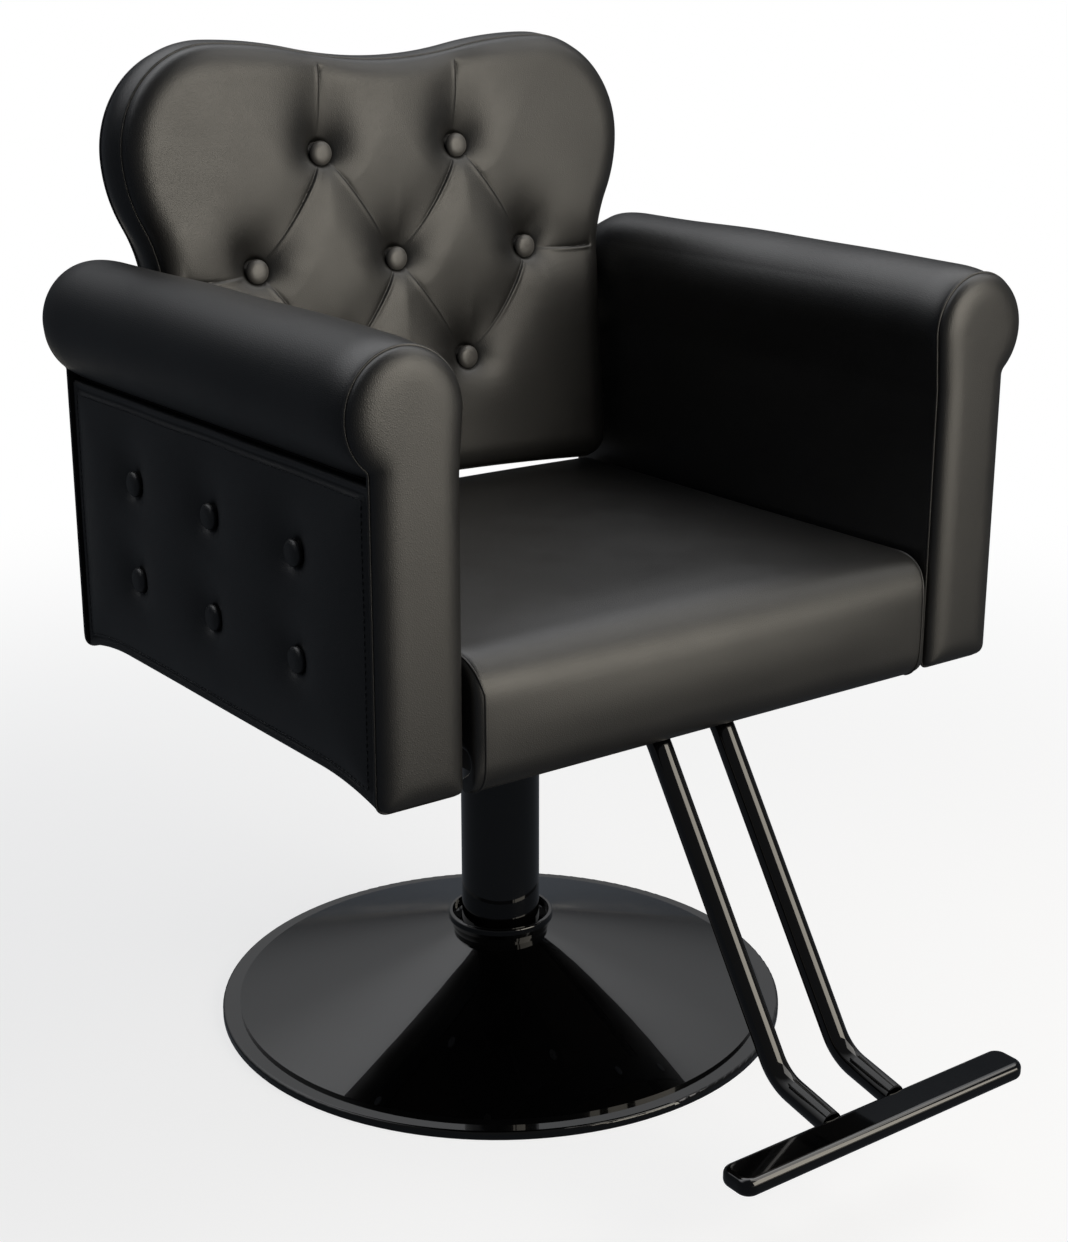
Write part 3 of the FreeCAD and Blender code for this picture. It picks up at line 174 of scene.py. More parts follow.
# %% [markdown]
# The studio is a pale floor that keeps the shadow, in a white surround. Black leather and black
# paint show their form by what they mirror, so that matters as much as the lamps. It is set apart
# from the white that the camera sees by asking each ray what kind it is. Satin leather mirrors a
# dim room with a pale sky high behind the chair and two pools of light painted on the floor as a
# glow that only mirrors see. The sharp mirror of a clear coat sees the front painted pool and a
# grey haze that brightens upwards.

# %% Floor and surround
WHITE = (1.0, 1.0, 1.0, 1.0)
FLOOR_RADIUS, FLOOR_SIDES, FLOOR_DROP = 80.0, 96, 0.0006
FLOOR_COLOUR, FLOOR_GLOW = (0.34, 0.34, 0.34, 1.0), 0.77
SHADOW_ENDS = (0.7, 2.2)
FILL_COLOUR, FILL_STRENGTH = (0.55, 0.70, 1.0, 1.0), 0.09
DIM_COLOUR, DIM_STRENGTH = (0.80, 0.88, 1.0, 1.0), 0.075
SKY_COLOUR, SKY_STRENGTH = (0.97, 0.98, 1.0, 1.0), 2.1
SKY_RISE, SKY_SIDE = (0.48, 0.82), (-0.1, 0.45)
HAZE_RISE, HAZE_LOW = 1.0, 0.03
POOL_COLOUR = (1.0, 0.93, 0.80, 1.0)
# The middle of each pool of light painted on the floor, the distances between which it fades, and
# its strength
POOLS = (
    ((0.7, -2.4, 0.0), (0.5, 1.5), 1.3),
    ((1.2, 2.4, 0.0), (0.6, 1.9), 0.7),
)


def floor_material():
    material = bpy.data.materials.new("studio_floor")
    tree = bare_tree(material)
    place = node(tree, "TexCoord").outputs["Object"]

    def glow(colour, strength):
        return node(tree, "Emission", Color=colour, Strength=strength).outputs[0]

    def away_from(middle, ends):
        far = reckon(tree, "DISTANCE", place, middle, kind="VectorMath")
        return step_up(tree, far, ends)

    plain = node(tree, "BsdfDiffuse", Color=FLOOR_COLOUR).outputs[0]
    pale = node(tree, "AddShader")
    tree.links.new(plain, pale.inputs[0])
    tree.links.new(glow(WHITE, FLOOR_GLOW), pale.inputs[1])
    seen = mixed(tree, away_from((0, 0, 0), SHADOW_ENDS), pale.outputs[0], glow(WHITE, 1.0))
    mirrored = [glow(DIM_COLOUR, DIM_STRENGTH)]
    # Each pool is painted light: a warm glow laid on the floor that only mirrored rays see.
    for middle, ends, strength in POOLS:
        painted = glow(POOL_COLOUR, strength)
        mirrored.append(mixed(tree, away_from(middle, ends), painted, mirrored[-1]))
    _, front_pool, both_pools = mirrored
    surface = by_ray(tree, fallen=plain, satin=both_pools, sharp=front_pool, seen=seen)
    node(tree, "OutputMaterial", Surface=surface)
    return material


def add_floor():
    """A wide disc, a hair under the base."""
    angles = [2 * math.pi * i / FLOOR_SIDES for i in range(FLOOR_SIDES)]
    rim = [(FLOOR_RADIUS * math.cos(a), FLOOR_RADIUS * math.sin(a), -FLOOR_DROP) for a in angles]
    mesh = bpy.data.meshes.new("studio_floor")
    mesh.from_pydata(rim, [], [tuple(range(FLOOR_SIDES))])
    mesh.materials.append(floor_material())
    floor = new_object("studio_floor", mesh)


def add_surround():
    """White for the camera, a dim cool fill on the chair, and what the two kinds of mirror see."""
    world = bpy.data.worlds.new("surround")
    tree = bare_tree(world)

    def light(colour, strength):
        return node(tree, "Background", Color=colour, Strength=strength).outputs[0]

    way = node(tree, "TexCoord").outputs["Generated"]
    parts = node(tree, "SeparateXYZ", Vector=way).outputs
    behind = step_up(tree, parts["Y"], SKY_SIDE)
    sky = reckon(tree, "MULTIPLY", step_up(tree, parts["Z"], SKY_RISE), behind)
    rising = reckon(tree, "MULTIPLY_ADD", parts["Z"], HAZE_RISE, HAZE_LOW)
    grey = reckon(tree, "MAXIMUM", reckon(tree, "MULTIPLY", rising, behind), DIM_STRENGTH)
    room = mixed(tree, sky, light(DIM_COLOUR, DIM_STRENGTH), light(SKY_COLOUR, SKY_STRENGTH))
    surface = by_ray(tree, fallen=light(FILL_COLOUR, FILL_STRENGTH), satin=room,
                     sharp=light(SKY_COLOUR, grey), seen=light(WHITE, 1.0))
    node(tree, "OutputWorld", Surface=surface)
    bpy.context.scene.world = world


add_floor()
add_surround()
print("floor and surround, with", len(POOLS), "lit pools for mirrors")

# %% [markdown]
# Two soft boxes light the chair. The warm key lamp in front shapes the back and the facings. The
# lamp above, on the right of the picture, lays the broad gleam on the lip of the seat. Both are
# kept at a plain level, so that a colour comes out about as it is written.

# %% Lamps
AIM = Vector((0.0, -0.05, 0.55))
# Name, place, size, watts and colour
LAMPS = (
    ("key_lamp", (1.0, -2.6, 1.25), (2.0, 2.1), 48, (1.0, 0.93, 0.80)),
    ("top_lamp", (1.5, -0.85, 2.9), (2.2, 2.2), 26, (1.0, 0.97, 0.92)),
)


def add_lamp(name, place, size, watts, colour):
    """A soft box that faces the chair."""
    data = bpy.data.lights.new(name, "AREA")
    data.shape = "RECTANGLE"
    data.size, data.size_y = size
    data.energy = watts
    data.color = colour
    turn = (Vector(place) - AIM).to_track_quat("Z", "Y").to_matrix()
    new_object(name, data).matrix_world = Matrix.Translation(place) @ turn.to_4x4()


for lamp in LAMPS:
    add_lamp(*lamp)
print(len(LAMPS), "lamps")

# %% [markdown]
# Finishes are node materials. Each starts as one plain shader, and then textures in the object's
# own coordinates vary its colour and roughness and raise its grain. Object coordinates need no
# unwrapping, and the chair's frame is in metres, so a scale of 500 gives a grain of 2 mm whatever
# the piece. Noise seldom leaves the middle of its range, so that middle is spread over the whole
# of what is varied.

# %% Finish helpers
NOISE_LOW, NOISE_HIGH = 0.3, 0.7


def new_finish(name, colour, roughness, **sockets):
    """A material with one shader, whose even values are set straight on its sockets."""
    material = bpy.data.materials.new(name)
    material.use_nodes = True
    shader = material.node_tree.nodes["Principled BSDF"]
    shader.inputs["Base Color"].default_value = (*colour, 1.0)
    shader.inputs["Roughness"].default_value = roughness
    for key, value in sockets.items():
        shader.inputs[key.replace("_", " ")].default_value = value
    return material


def texture(material, kind, scale, stretch=None, **settings):
    """A texture in object coordinates, stretched along the axes if asked."""
    tree = material.node_tree
    place = node(tree, "TexCoord").outputs["Object"]
    if stretch:
        place = node(tree, "Mapping", Vector=place, Scale=stretch).outputs[0]
    return node(tree, kind, Vector=place, Scale=scale, **settings)


def noise(material, scale, detail, **settings):
    return texture(material, "TexNoise", scale, Detail=detail, **settings).outputs["Fac"]


def vary_roughness(material, source, low, high):
    tree = material.node_tree
    spread = node(tree, "MapRange", Value=source, From_Min=NOISE_LOW, From_Max=NOISE_HIGH,
                  To_Min=low, To_Max=high)
    tree.links.new(spread.outputs[0], tree.nodes["Principled BSDF"].inputs["Roughness"])


def vary_colour(material, source, first, second):
    tree = material.node_tree
    ramp = node(tree, "ValToRGB", Fac=source)
    ends = zip(ramp.color_ramp.elements, (NOISE_LOW, NOISE_HIGH), (first, second))
    for end, position, colour in ends:
        end.position = position
        end.color = (*colour, 1.0)
    tree.links.new(ramp.outputs[0], tree.nodes["Principled BSDF"].inputs["Base Color"])


def raise_grain(material, height, strength, distance):
    """Adds a bump on top of any that the material has already."""
    tree = material.node_tree
    normal = tree.nodes["Principled BSDF"].inputs["Normal"]
    bump = node(tree, "Bump", Height=height, Strength=strength, Distance=distance)
    if normal.is_linked:
        tree.links.new(normal.links[0].from_socket, bump.inputs["Normal"])
    tree.links.new(bump.outputs[0], normal)


print("finish helpers ready")

# %% [markdown]
# The leather is a pigmented, lightly embossed hide: close pebbled cells a millimetre or two
# across, with fine pores, and a satin topcoat that is a little more polished in some places than
# in others. A Voronoi texture's distance to the cell edges gives the pebbles, because its low
# lines join up the way creases in hide do. Welts have a leather of their own, and the back's
# buttons a much paler copy of the black one, which paints on them the light that their domes catch.

# %% Leather
def make_leather(name, dark, light, low_gloss, high_gloss):
    material = new_finish(name, light, high_gloss, Specular_IOR_Level=0.8)
    patches = noise(material, scale=9.0, detail=4.0, Roughness=0.55)
    vary_colour(material, patches, dark, light)
    polish = noise(material, scale=23.0, detail=3.0)
    vary_roughness(material, polish, low_gloss, high_gloss)
    cells = texture(material, "TexVoronoi", scale=620.0, feature="DISTANCE_TO_EDGE", Randomness=0.9)
    raise_grain(material, cells.outputs["Distance"], strength=0.34, distance=0.0006)
    pores = noise(material, scale=1500.0, detail=2.0)
    raise_grain(material, pores, strength=0.12, distance=0.0002)
    return material


def make_thread(name, colour):
    material = new_finish(name, colour, 0.6, Sheen_Weight=0.2)
    twist = texture(material, "TexWave", scale=900.0, Distortion=1.0)
    raise_grain(material, twist.outputs["Fac"], strength=0.4, distance=0.0002)
    return material


leather = make_leather(
    "black_leather", (0.011, 0.0106, 0.0102), (0.016, 0.0154, 0.0146), 0.38, 0.42)
# A much paler copy of the black leather: painted highlight for the light that the back's button
# domes catch.
painted_highlight_button_leather = make_leather(
    "painted_highlight_button_leather", (0.075, 0.072, 0.068), (0.090, 0.086, 0.081), 0.34, 0.40)
welt_leather = make_leather(
    "welt_leather", (0.012, 0.0116, 0.011), (0.018, 0.0172, 0.0164), 0.36, 0.46)
thread = make_thread("black_thread", (0.018, 0.018, 0.018))
print("three leathers and a thread")

# %% [markdown]
# The metal under the seat and the base are gloss black: a clear coat over a dark enamel, with the
# faint ripple that sprayed paint keeps and a bloom of dust that dulls it unevenly. Shoes have
# scuffed the bar of the footrest, so its coat is less sharp. Inside and underneath are plainer
# metals, which only need a stain and a fine texture.

# %% Paint and metal
ENAMEL = (0.0012, 0.0012, 0.0013)
TINT_LIFT, STAIN_DARK = 1.5, 0.82


def make_paint(name, colour, low_gloss, high_gloss, coat, scuffed=0.0):
    material = new_finish(name, colour, high_gloss, Coat_Weight=coat, Coat_IOR=1.65,
                          Coat_Roughness=scuffed, Specular_IOR_Level=0.1)
    bloom = noise(material, scale=14.0, detail=5.0, Roughness=0.6)
    vary_roughness(material, bloom, low_gloss, high_gloss)
    tint = noise(material, scale=30.0, detail=3.0)
    vary_colour(material, tint, colour, tuple(TINT_LIFT * c for c in colour))
    ripple = noise(material, scale=160.0, detail=1.0)
    raise_grain(material, ripple, strength=0.04, distance=0.0004)
    return material


def make_metal(name, colour, low_gloss, high_gloss, brushed=None):
    material = new_finish(name, colour, high_gloss, Metallic=1.0)
    lines = noise(material, scale=240.0, detail=3.0, stretch=brushed)
    vary_roughness(material, lines, low_gloss, high_gloss)
    stain = noise(material, scale=40.0, detail=4.0)
    vary_colour(material, stain, tuple(STAIN_DARK * c for c in colour), colour)
    raise_grain(material, lines, strength=0.08, distance=0.0002)
    return material


def make_iron(name):
    material = new_finish(name, (0.11, 0.11, 0.11), 0.7, Metallic=0.6)
    skin = noise(material, scale=420.0, detail=5.0)
    vary_colour(material, skin, (0.07, 0.07, 0.07), (0.14, 0.135, 0.13))
    raise_grain(material, skin, strength=0.5, distance=0.0008)
    return material


scuffed_enamel = make_paint("scuffed_black_enamel", ENAMEL, 0.10, 0.20, 1.0, scuffed=0.03)
METALS = {
    "gloss_black_steel": make_paint("gloss_black_enamel", ENAMEL, 0.10, 0.20, 1.0),
    "satin_black_steel": make_paint("satin_black_enamel", (0.016, 0.016, 0.017), 0.35, 0.5, 0.2),
    "bright_steel": make_metal("ground_steel", (0.62, 0.62, 0.63), 0.10, 0.24, (1, 1, 0.05)),
    "zinc_steel": make_metal("zinc_plate", (0.56, 0.56, 0.57), 0.25, 0.42),
    "bronze": make_metal("bearing_bronze", (0.56, 0.37, 0.17), 0.28, 0.42),
    "grey_iron": make_iron("grey_cast_iron"),
}
print(len(METALS), "finishes for metal")

# %% [markdown]
# Two finishes are left: the worn rubber of the pedal's tread, and the stained plywood of the
# boards, whose noise is drawn out along X to run like grain. The CAD record names a slot for every
# piece, and the slot picks its finish.

# %% Rubber, wood and the CAD pieces
def make_rubber(name):
    material = new_finish(name, (0.022, 0.022, 0.023), 0.75, Specular_IOR_Level=0.35)
    wear = noise(material, scale=60.0, detail=5.0)
    vary_colour(material, wear, (0.016, 0.016, 0.017), (0.034, 0.033, 0.032))
    vary_roughness(material, wear, 0.62, 0.85)
    speck = noise(material, scale=900.0, detail=2.0)
    raise_grain(material, speck, strength=0.25, distance=0.0004)
    return material


def make_plywood(name):
    material = new_finish(name, (0.03, 0.024, 0.019), 0.6)
    rings = noise(material, scale=26.0, detail=6.0, stretch=(1, 14, 14), Distortion=0.4)
    vary_colour(material, rings, (0.016, 0.013, 0.011), (0.042, 0.032, 0.024))
    vary_roughness(material, rings, 0.5, 0.7)
    raise_grain(material, rings, strength=0.2, distance=0.0005)
    return material


FINISHES = {
    **METALS,
    "black_leather": leather,
    "plywood": make_plywood("stained_plywood"),
    "black_rubber": make_rubber("black_rubber"),
}


def finish_frame():
    """Gives every CAD piece the finish of its slot in the record, but the scuffed bar its own."""
    for part in frame["record"]["subparts"]:
        scuffed = part["node"] == "footrest_bar"
        mesh = frame["nodes"][part["node"]].data
        mesh.materials.clear()
        mesh.materials.append(scuffed_enamel if scuffed else FINISHES[part["material_slot"]])


finish_frame()
print(len(FINISHES), "finishes on", len(frame["nodes"]), "CAD pieces")

# %% [markdown]
# Most soft pieces here are pads behind an outline: the heart of the back, the keyhole of an arm's
# front, the arched side panel. The outline is drawn the way a pattern cutter would, as lines and
# arcs, and then sampled evenly. It starts at the middle of its foot and runs anticlockwise, so its
# outward side is always on the right.

# %% Lines and arcs
def arc_points(start, finish, radius, turn):
    """Points from start towards finish along the shorter arc that turns left or right."""
    chord = finish - start
    half = np.linalg.norm(chord) / 2
    side = 1 if turn == "left" else -1
    across = np.array((-chord[1], chord[0])) / (2 * half)
    rise = math.sqrt(max(radius ** 2 - half ** 2, 0))
    centre = (start + finish) / 2 + across * side * rise
    first = math.atan2(start[1] - centre[1], start[0] - centre[0])
    swing = 2 * math.asin(min(half / radius, 1)) * side
    count = max(int(abs(swing) * radius), 3)
    angles = first + swing * np.arange(count) / count
    return centre + radius * np.column_stack((np.cos(angles), np.sin(angles)))


def trace(corners):
    """The points of a closed outline. A corner is (x, z), or (x, z, radius, turn) where an arc
    runs to the next."""
    points = []
    for i, (x, z, *arc) in enumerate(corners):
        start = np.array((x, z), float)
        finish = np.array(corners[(i + 1) % len(corners)][:2], float)
        points.append(arc_points(start, finish, *arc) if arc else start[None])
    return np.vstack(points)


def evenly(path, count, closed=True):
    """The same line through evenly spaced points."""
    line = np.vstack((path, path[:1])) if closed else np.asarray(path, float)
    steps = np.linalg.norm(np.diff(line, axis=0), axis=1)
    along = np.concatenate(([0], np.cumsum(steps)))
    stops = np.linspace(0, along[-1], count, endpoint=not closed)
    return np.column_stack([np.interp(stops, along, axis) for axis in line.T])


def eased(loop, width):
    """A closed line with its corners eased, by averaging each point with its neighbours."""
    shifts = range(-width, width + 1)
    return sum(np.roll(loop, shift, axis=0) for shift in shifts) / len(shifts)


def outward(loop):
    """Unit vectors that point out of a closed anticlockwise line."""
    along = np.roll(loop, -1, axis=0) - np.roll(loop, 1, axis=0)
    normal = np.column_stack((along[:, 1], -along[:, 0]))
    return normal / np.linalg.norm(normal, axis=1)[:, None]


print("drawing tools ready")

# %% [markdown]
# Padding rises with the distance from the edge. The plain distance has a ridge wherever two sides
# are equally near, and leather over foam has none. So there is a soft distance too, which weighs
# the whole outline by the fifth power of nearness. Along one long straight side that sum is 4/3 of
# the distance to the power of -4, which is how it is turned back into a distance.

# %% Outlines
OUTLINE_POINTS = 2400
SOFT_SKIP, SOFT_FROM, SOFT_RUN, SOFT_BLOCKS = 3, 2.0, 6.0, 24


def shares(count):
    """Even shares of the way round an outline."""
    return np.arange(count) / count


class Outline:
    """A closed outline that can be read at any share of the way round, and drawn in or out."""

    def __init__(self, corners, ease):
        self.points = eased(evenly(trace(corners), OUTLINE_POINTS), ease)
        self.normals = outward(self.points)
        self.tree = KDTree(OUTLINE_POINTS)
        for i, (x, z) in enumerate(self.points):
            self.tree.insert((x, z, 0), i)
        self.tree.balance()

    def at(self, share, out=0.0):
        moved = self.points + self.normals * out
        moved = np.vstack((moved, moved[:1]))
        stops = np.arange(OUTLINE_POINTS + 1) / OUTLINE_POINTS
        return np.column_stack([np.interp(share % 1, stops, axis) for axis in moved.T])

    def way(self, share):
        """The outward direction at each share."""
        return self.at(share, 1.0) - self.at(share)

    def depth_inside(self, flat):
        """How far each point is from the outline."""
        return np.array([self.tree.find((x, z, 0))[2] for x, z in flat])

    def soft_depth(self, flat):
        """The soft distance, which takes over from the plain one a little way inside the edge."""
        edge = self.points[::SOFT_SKIP]
        step = np.linalg.norm(np.roll(edge, -1, axis=0) - edge, axis=1)
        sums = []
        for block in np.array_split(flat, SOFT_BLOCKS):
            squared = np.maximum(((block[:, None] - edge) ** 2).sum(axis=2), 1)
            sums.append((step / squared ** 2.5).sum(axis=1))
        soft = (np.concatenate(sums) * 3 / 4) ** -0.25
        inside = self.depth_inside(flat)
        share = np.clip((inside - SOFT_FROM) / SOFT_RUN, 0, 1)
        return inside + share * (soft - inside)


print("an outline has", OUTLINE_POINTS, "points")

# %% [markdown]
# A pad's face is a square grid bent so that its outer square follows the outline and its inner
# squares shrink towards a middle point. That keeps clean four-sided faces everywhere, with no
# pole, and the rim is a ready-made loop from which the sides of the pad run back. The rings crowd
# towards the rim, where the leather turns over the edge.

# %% Faces of pads
RIM_CROWDING = 1.3


class Face:
    """A grid of rings inside an outline, with its rim in order."""

    def __init__(self, line, centre, rings):
        steps = np.arange(-rings, rings + 1)
        i, j = (a.ravel() for a in np.meshgrid(steps, steps, indexing="ij"))
        ring = np.maximum(abs(i), abs(j))
        u, v = i / np.maximum(ring, 1), j / np.maximum(ring, 1)
        # Eight half sides, counted from the middle of the foot
        sides = [(v == -1) & (u >= 0), u == 1, v == 1, u == -1]
        share = np.select(sides, [u, 2 + v, 4 - u, 6 - v], 8 + u) / 8
        reach = 1 - (1 - ring / rings) ** RIM_CROWDING
        self.flat = np.array(centre) + reach[:, None] * (line.at(share) - np.array(centre))
        side = 2 * rings + 1
        first = (np.arange(side - 1)[:, None] * side + np.arange(side - 1)).ravel()
        self.faces = np.column_stack((first, first + side, first + side + 1, first + 1)).tolist()
        rim = np.flatnonzero(ring == rings)
        self.rim = rim[np.argsort(share[rim])]
        self.rim_share = share[self.rim]
        self.measure(line)

    def measure(self, line):
        self.inside = line.depth_inside(self.flat)
        self.inside[self.rim] = 0.0

    def refine(self, line, distance, bands):
        """Halves the edges that lie within each band of a fold in turn, so that the fold is drawn
        by fine faces."""
        work = bmesh.new()
        corners = [work.verts.new((x, z, 0)) for x, z in self.flat]
        for face in self.faces:
            work.faces.new([corners[i] for i in face])
        for band in bands:
            work.verts.index_update()
            away = distance(np.array([v.co.xy for v in work.verts]))
            near = [
                edge for edge in work.edges
                if sum(away[v.index] for v in edge.verts) < 2 * band and not edge.is_boundary
            ]
            bmesh.ops.subdivide_edges(work, edges=near, cuts=1, use_grid_fill=True)
        work.verts.index_update()
        tree = KDTree(len(work.verts))
        for vert in work.verts:
            tree.insert(vert.co, vert.index)
        tree.balance()
        self.rim = np.array([tree.find((x, z, 0))[1] for x, z in self.flat[self.rim]])
        self.flat = np.array([v.co.xy for v in work.verts])
        self.faces = [[v.index for v in face.verts] for face in work.faces]
        work.free()
        self.measure(line)


print("rings crowd to the rim by a power of", RIM_CROWDING)

# %% [markdown]
# A pad needs a few more things: its mesh, with sides that run back from the rim, a steep rounded
# rise at the edge, and a slow unevenness like that of foam under hide. Every piece is then added
# in the same way: smooth, with its faces turned outwards, riding on a body of the frame. A soft
# piece also names the CAD solids it stands for, which are hidden.

# %% Pads
EDGE_FULLNESS = 2.2
SHARP_ANGLE = math.radians(50)
# The direction of each wave of unevenness, and its phase
FOAM_WAVES = (
    ((1.0, 0.62, 0.37), 0.0),
    ((-0.53, 1.1, 0.71), 1.7),
    ((0.81, -0.44, 1.27), 4.1),
    ((-0.9, -0.77, 0.58), 2.6),
)


def pad_mesh(face, points, loops):
    """The face at its points, then loops that run back from its rim, and the last closed flat."""
    count = len(face.rim)
    faces = list(face.faces)
    previous, total = face.rim, len(points)
    for _ in loops:
        current = np.arange(total, total + count)
        band = (previous, np.roll(previous, -1), np.roll(current, -1), current)
        faces += np.column_stack(band).tolist()
        previous, total = current, total + count
    faces.append(previous.tolist())
    return np.vstack([points, *loops]), faces


def ring_faces(count, rings, closed=False):
    """Four-sided faces between rings of points, one after the other, and round to the first if
    closed."""
    side = np.arange(count)
    turn = (side + 1) % count
    row = np.arange(rings if closed else rings - 1)[:, None] * count
    following = (row + count) % (rings * count)
    quads = np.stack((row + side, row + turn, following + turn, following + side), axis=-1)
    return quads.reshape(-1, 4).tolist()


def swell(inside, width, fullness=EDGE_FULLNESS):
    """0 at the rim and 1 from width inwards, rising steeply at first like leather over a padded
    edge."""
    left = 1 - np.clip(inside / width, 0, 1)
    return (1 - left ** fullness) ** (1 / fullness)


def unevenness(points, length, height):
    """A slow unevenness: a few waves that never line up. Points of a plan count as level."""
    points = np.pad(points, ((0, 0), (0, 3 - points.shape[1])))
    total = sum(
        np.sin(2 * math.pi * (points @ np.array(way)) / length + phase)
        for way, phase in FOAM_WAVES
    )
    return height * total / len(FOAM_WAVES)


def add_piece(name, points, faces, finish, slot, body="seat"):
    """A smooth mesh from points in millimetres, with its faces turned outwards, on a body."""
    mesh = bpy.data.meshes.new(name)
    mesh.from_pydata((np.asarray(points) * MM).tolist(), [], faces)
    work = bmesh.new()
    work.from_mesh(mesh)
    bmesh.ops.recalc_face_normals(work, faces=work.faces)
    work.to_mesh(mesh)
    work.free()
    mesh.shade_smooth()
    mesh.set_sharp_from_angle(angle=SHARP_ANGLE)
    mesh.materials.append(finish)
    piece = new_object(name, mesh)
    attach(piece, body)
    print(name, "has", len(faces), "faces")
    return piece


def soft_piece(name, points, faces, replaced, fill, finish=leather):
    piece = add_piece(name, points, faces, finish, "black_leather")
    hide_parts(*replaced)
    return piece


print("pad tools ready")

# %% [markdown]
# Seams are finished with a welt, a cord wrapped in leather and sewn into the seam, and some have a
# row of top stitches beside them. Both are swept along a line in space: a welt as one long tube,
# and stitches as short tubes with tapered ends. The ring of points that is swept is turned as
# little as possible from one step to the next.

# %% Welts and stitches
TUBE_SIDES = 10
STITCH_LENGTH, STITCH_GAP, STITCH_STEPS = 4.2, 1.8, 6
STITCH_RADII = 0.55 * np.array((0.35, 0.9, 1.0, 0.9, 0.35))


def sweep(path, radii, closed):
    """A tube through the points of a path."""
    path = np.asarray(path, float)
    ahead = np.roll(path, -1, axis=0) - np.roll(path, 1, axis=0)
    if not closed:
        ahead[0], ahead[-1] = path[1] - path[0], path[-1] - path[-2]
    ahead /= np.linalg.norm(ahead, axis=1)[:, None]
    across = np.cross(ahead[0], np.eye(3)[np.argmin(abs(ahead[0]))])
    angles = 2 * math.pi * np.arange(TUBE_SIDES)[:, None] / TUBE_SIDES
    points = []
    for place, way, radius in zip(path, ahead, np.broadcast_to(radii, len(path))):
        across = across - way * (across @ way)
        across /= np.linalg.norm(across)
        up = np.cross(way, across)
        points.append(place + radius * (np.cos(angles) * across + np.sin(angles) * up))
    faces = ring_faces(TUBE_SIDES, len(path), closed)
    if not closed:
        side = np.arange(TUBE_SIDES)
        faces += [side[::-1].tolist(), ((len(path) - 1) * TUBE_SIDES + side).tolist()]
    return np.vstack(points), faces


def joined(parts):
    """Several meshes as one list of points and one of faces."""
    points, faces, total = [], [], 0
    for part_points, part_faces in parts:
        points.append(part_points)
        faces += [[i + total for i in face] for face in part_faces]
        total += len(part_points)
    return np.vstack(points), faces


def stitches(path):
    """Short threads laid end to end round a closed path, with a small gap between them."""
    line = np.vstack((path, path[:1]))
    run = np.linalg.norm(np.diff(line, axis=0), axis=1).sum()
    count = int(run / (STITCH_LENGTH + STITCH_GAP))
    fine = evenly(line, count * STITCH_STEPS + 1, closed=False)
    starts = np.arange(count) * STITCH_STEPS
    threads = [fine[start:start + len(STITCH_RADII)] for start in starts]
    return joined([sweep(each, STITCH_RADII, closed=False) for each in threads])


def add_trim(name, mesh, finish, owner):
    """A welt or a row of stitches, which goes wherever the piece that it is sewn to goes."""
    piece = add_piece(name, *mesh, finish, "black_leather")
    piece.parent = owner
    piece.matrix_parent_inverse = Matrix.Identity(4)


print("a stitch every", STITCH_LENGTH + STITCH_GAP, "mm")

# %% [markdown]
# The back is deep-buttoned: seven covered buttons are pulled through the foam in three rows, and
# the spare leather between them is folded into pleats. A cushion like that has a plan, so it is
# built from the plan instead of by simulation. First come the outline, a heart made of arcs that
# run into each other without a corner, and the places of the buttons on it.

# %% Plan of the back
BACK_LEAN = math.radians(4.6)
BACK_FOOT = np.array((0.0, 159.0, 530.0))
BACK_HALF, BACK_WAIST, BACK_FOOT_ROUND, FOOT_ARCH, FOOT_DROP = 256.5, 206.0, 24.0, 9.0, 3.5
LOBE_HALF, LOBE_RADIUS, BACK_HEIGHT, BACK_DIP = 288.0, 100.0, 435.0, 19.0
TUFT_COLUMN, TUFT_FIRST_ROW, TUFT_ROW = 80.0, 113.0, 108.0
TUFT_ROWS = ((-1, 1), (-2, 0, 2), (-1, 1))


def heart():
    """The outline of the back: a dip between two lobes, drawn in to a waist above a slightly
    arched foot."""
    peak, shoulder = LOBE_HALF - LOBE_RADIUS, BACK_HEIGHT - LOBE_RADIUS
    crest = ((peak / 2) ** 2 + (BACK_DIP / 2) ** 2) / BACK_DIP
    draw_in, drop = LOBE_HALF - BACK_HALF, shoulder - BACK_WAIST
    flank = ((drop / 2) ** 2 + (draw_in / 2) ** 2) / draw_in
    middle = ((BACK_HALF + LOBE_HALF) / 2, (shoulder + BACK_WAIST) / 2)
    between = (peak / 2, BACK_HEIGHT - BACK_DIP / 2)
    corner, low = BACK_HALF - BACK_FOOT_ROUND, -FOOT_DROP - FOOT_ARCH
    arch = (corner ** 2 + FOOT_ARCH ** 2) / (2 * FOOT_ARCH)
    return Outline([
        (0, -FOOT_DROP, arch, "right"),
        (corner, low, BACK_FOOT_ROUND, "left"),
        (BACK_HALF, low + BACK_FOOT_ROUND),
        (BACK_HALF, BACK_WAIST, flank, "right"),
        (*middle, flank, "left"),
        (LOBE_HALF, shoulder, LOBE_RADIUS, "left"),
        (peak, BACK_HEIGHT, crest, "left"),
        (*between, crest, "right"),
        (0, BACK_HEIGHT - BACK_DIP, crest, "right"),
        (-between[0], between[1], crest, "left"),
        (-peak, BACK_HEIGHT, LOBE_RADIUS, "left"),
        (-LOBE_HALF, shoulder, flank, "left"),
        (-middle[0], middle[1], flank, "right"),
        (-BACK_HALF, BACK_WAIST),
        (-BACK_HALF, low + BACK_FOOT_ROUND, BACK_FOOT_ROUND, "left"),
        (-corner, low, arch, "right"),
    ], ease=6)


def leaned(flat, depth):
    """Stands points of the back's plan at their depth, then leans them with the back."""
    x, z = flat.T
    y = depth * math.cos(BACK_LEAN) + z * math.sin(BACK_LEAN)
    up = z * math.cos(BACK_LEAN) - depth * math.sin(BACK_LEAN)
    return BACK_FOOT + np.column_stack((x, y, up))


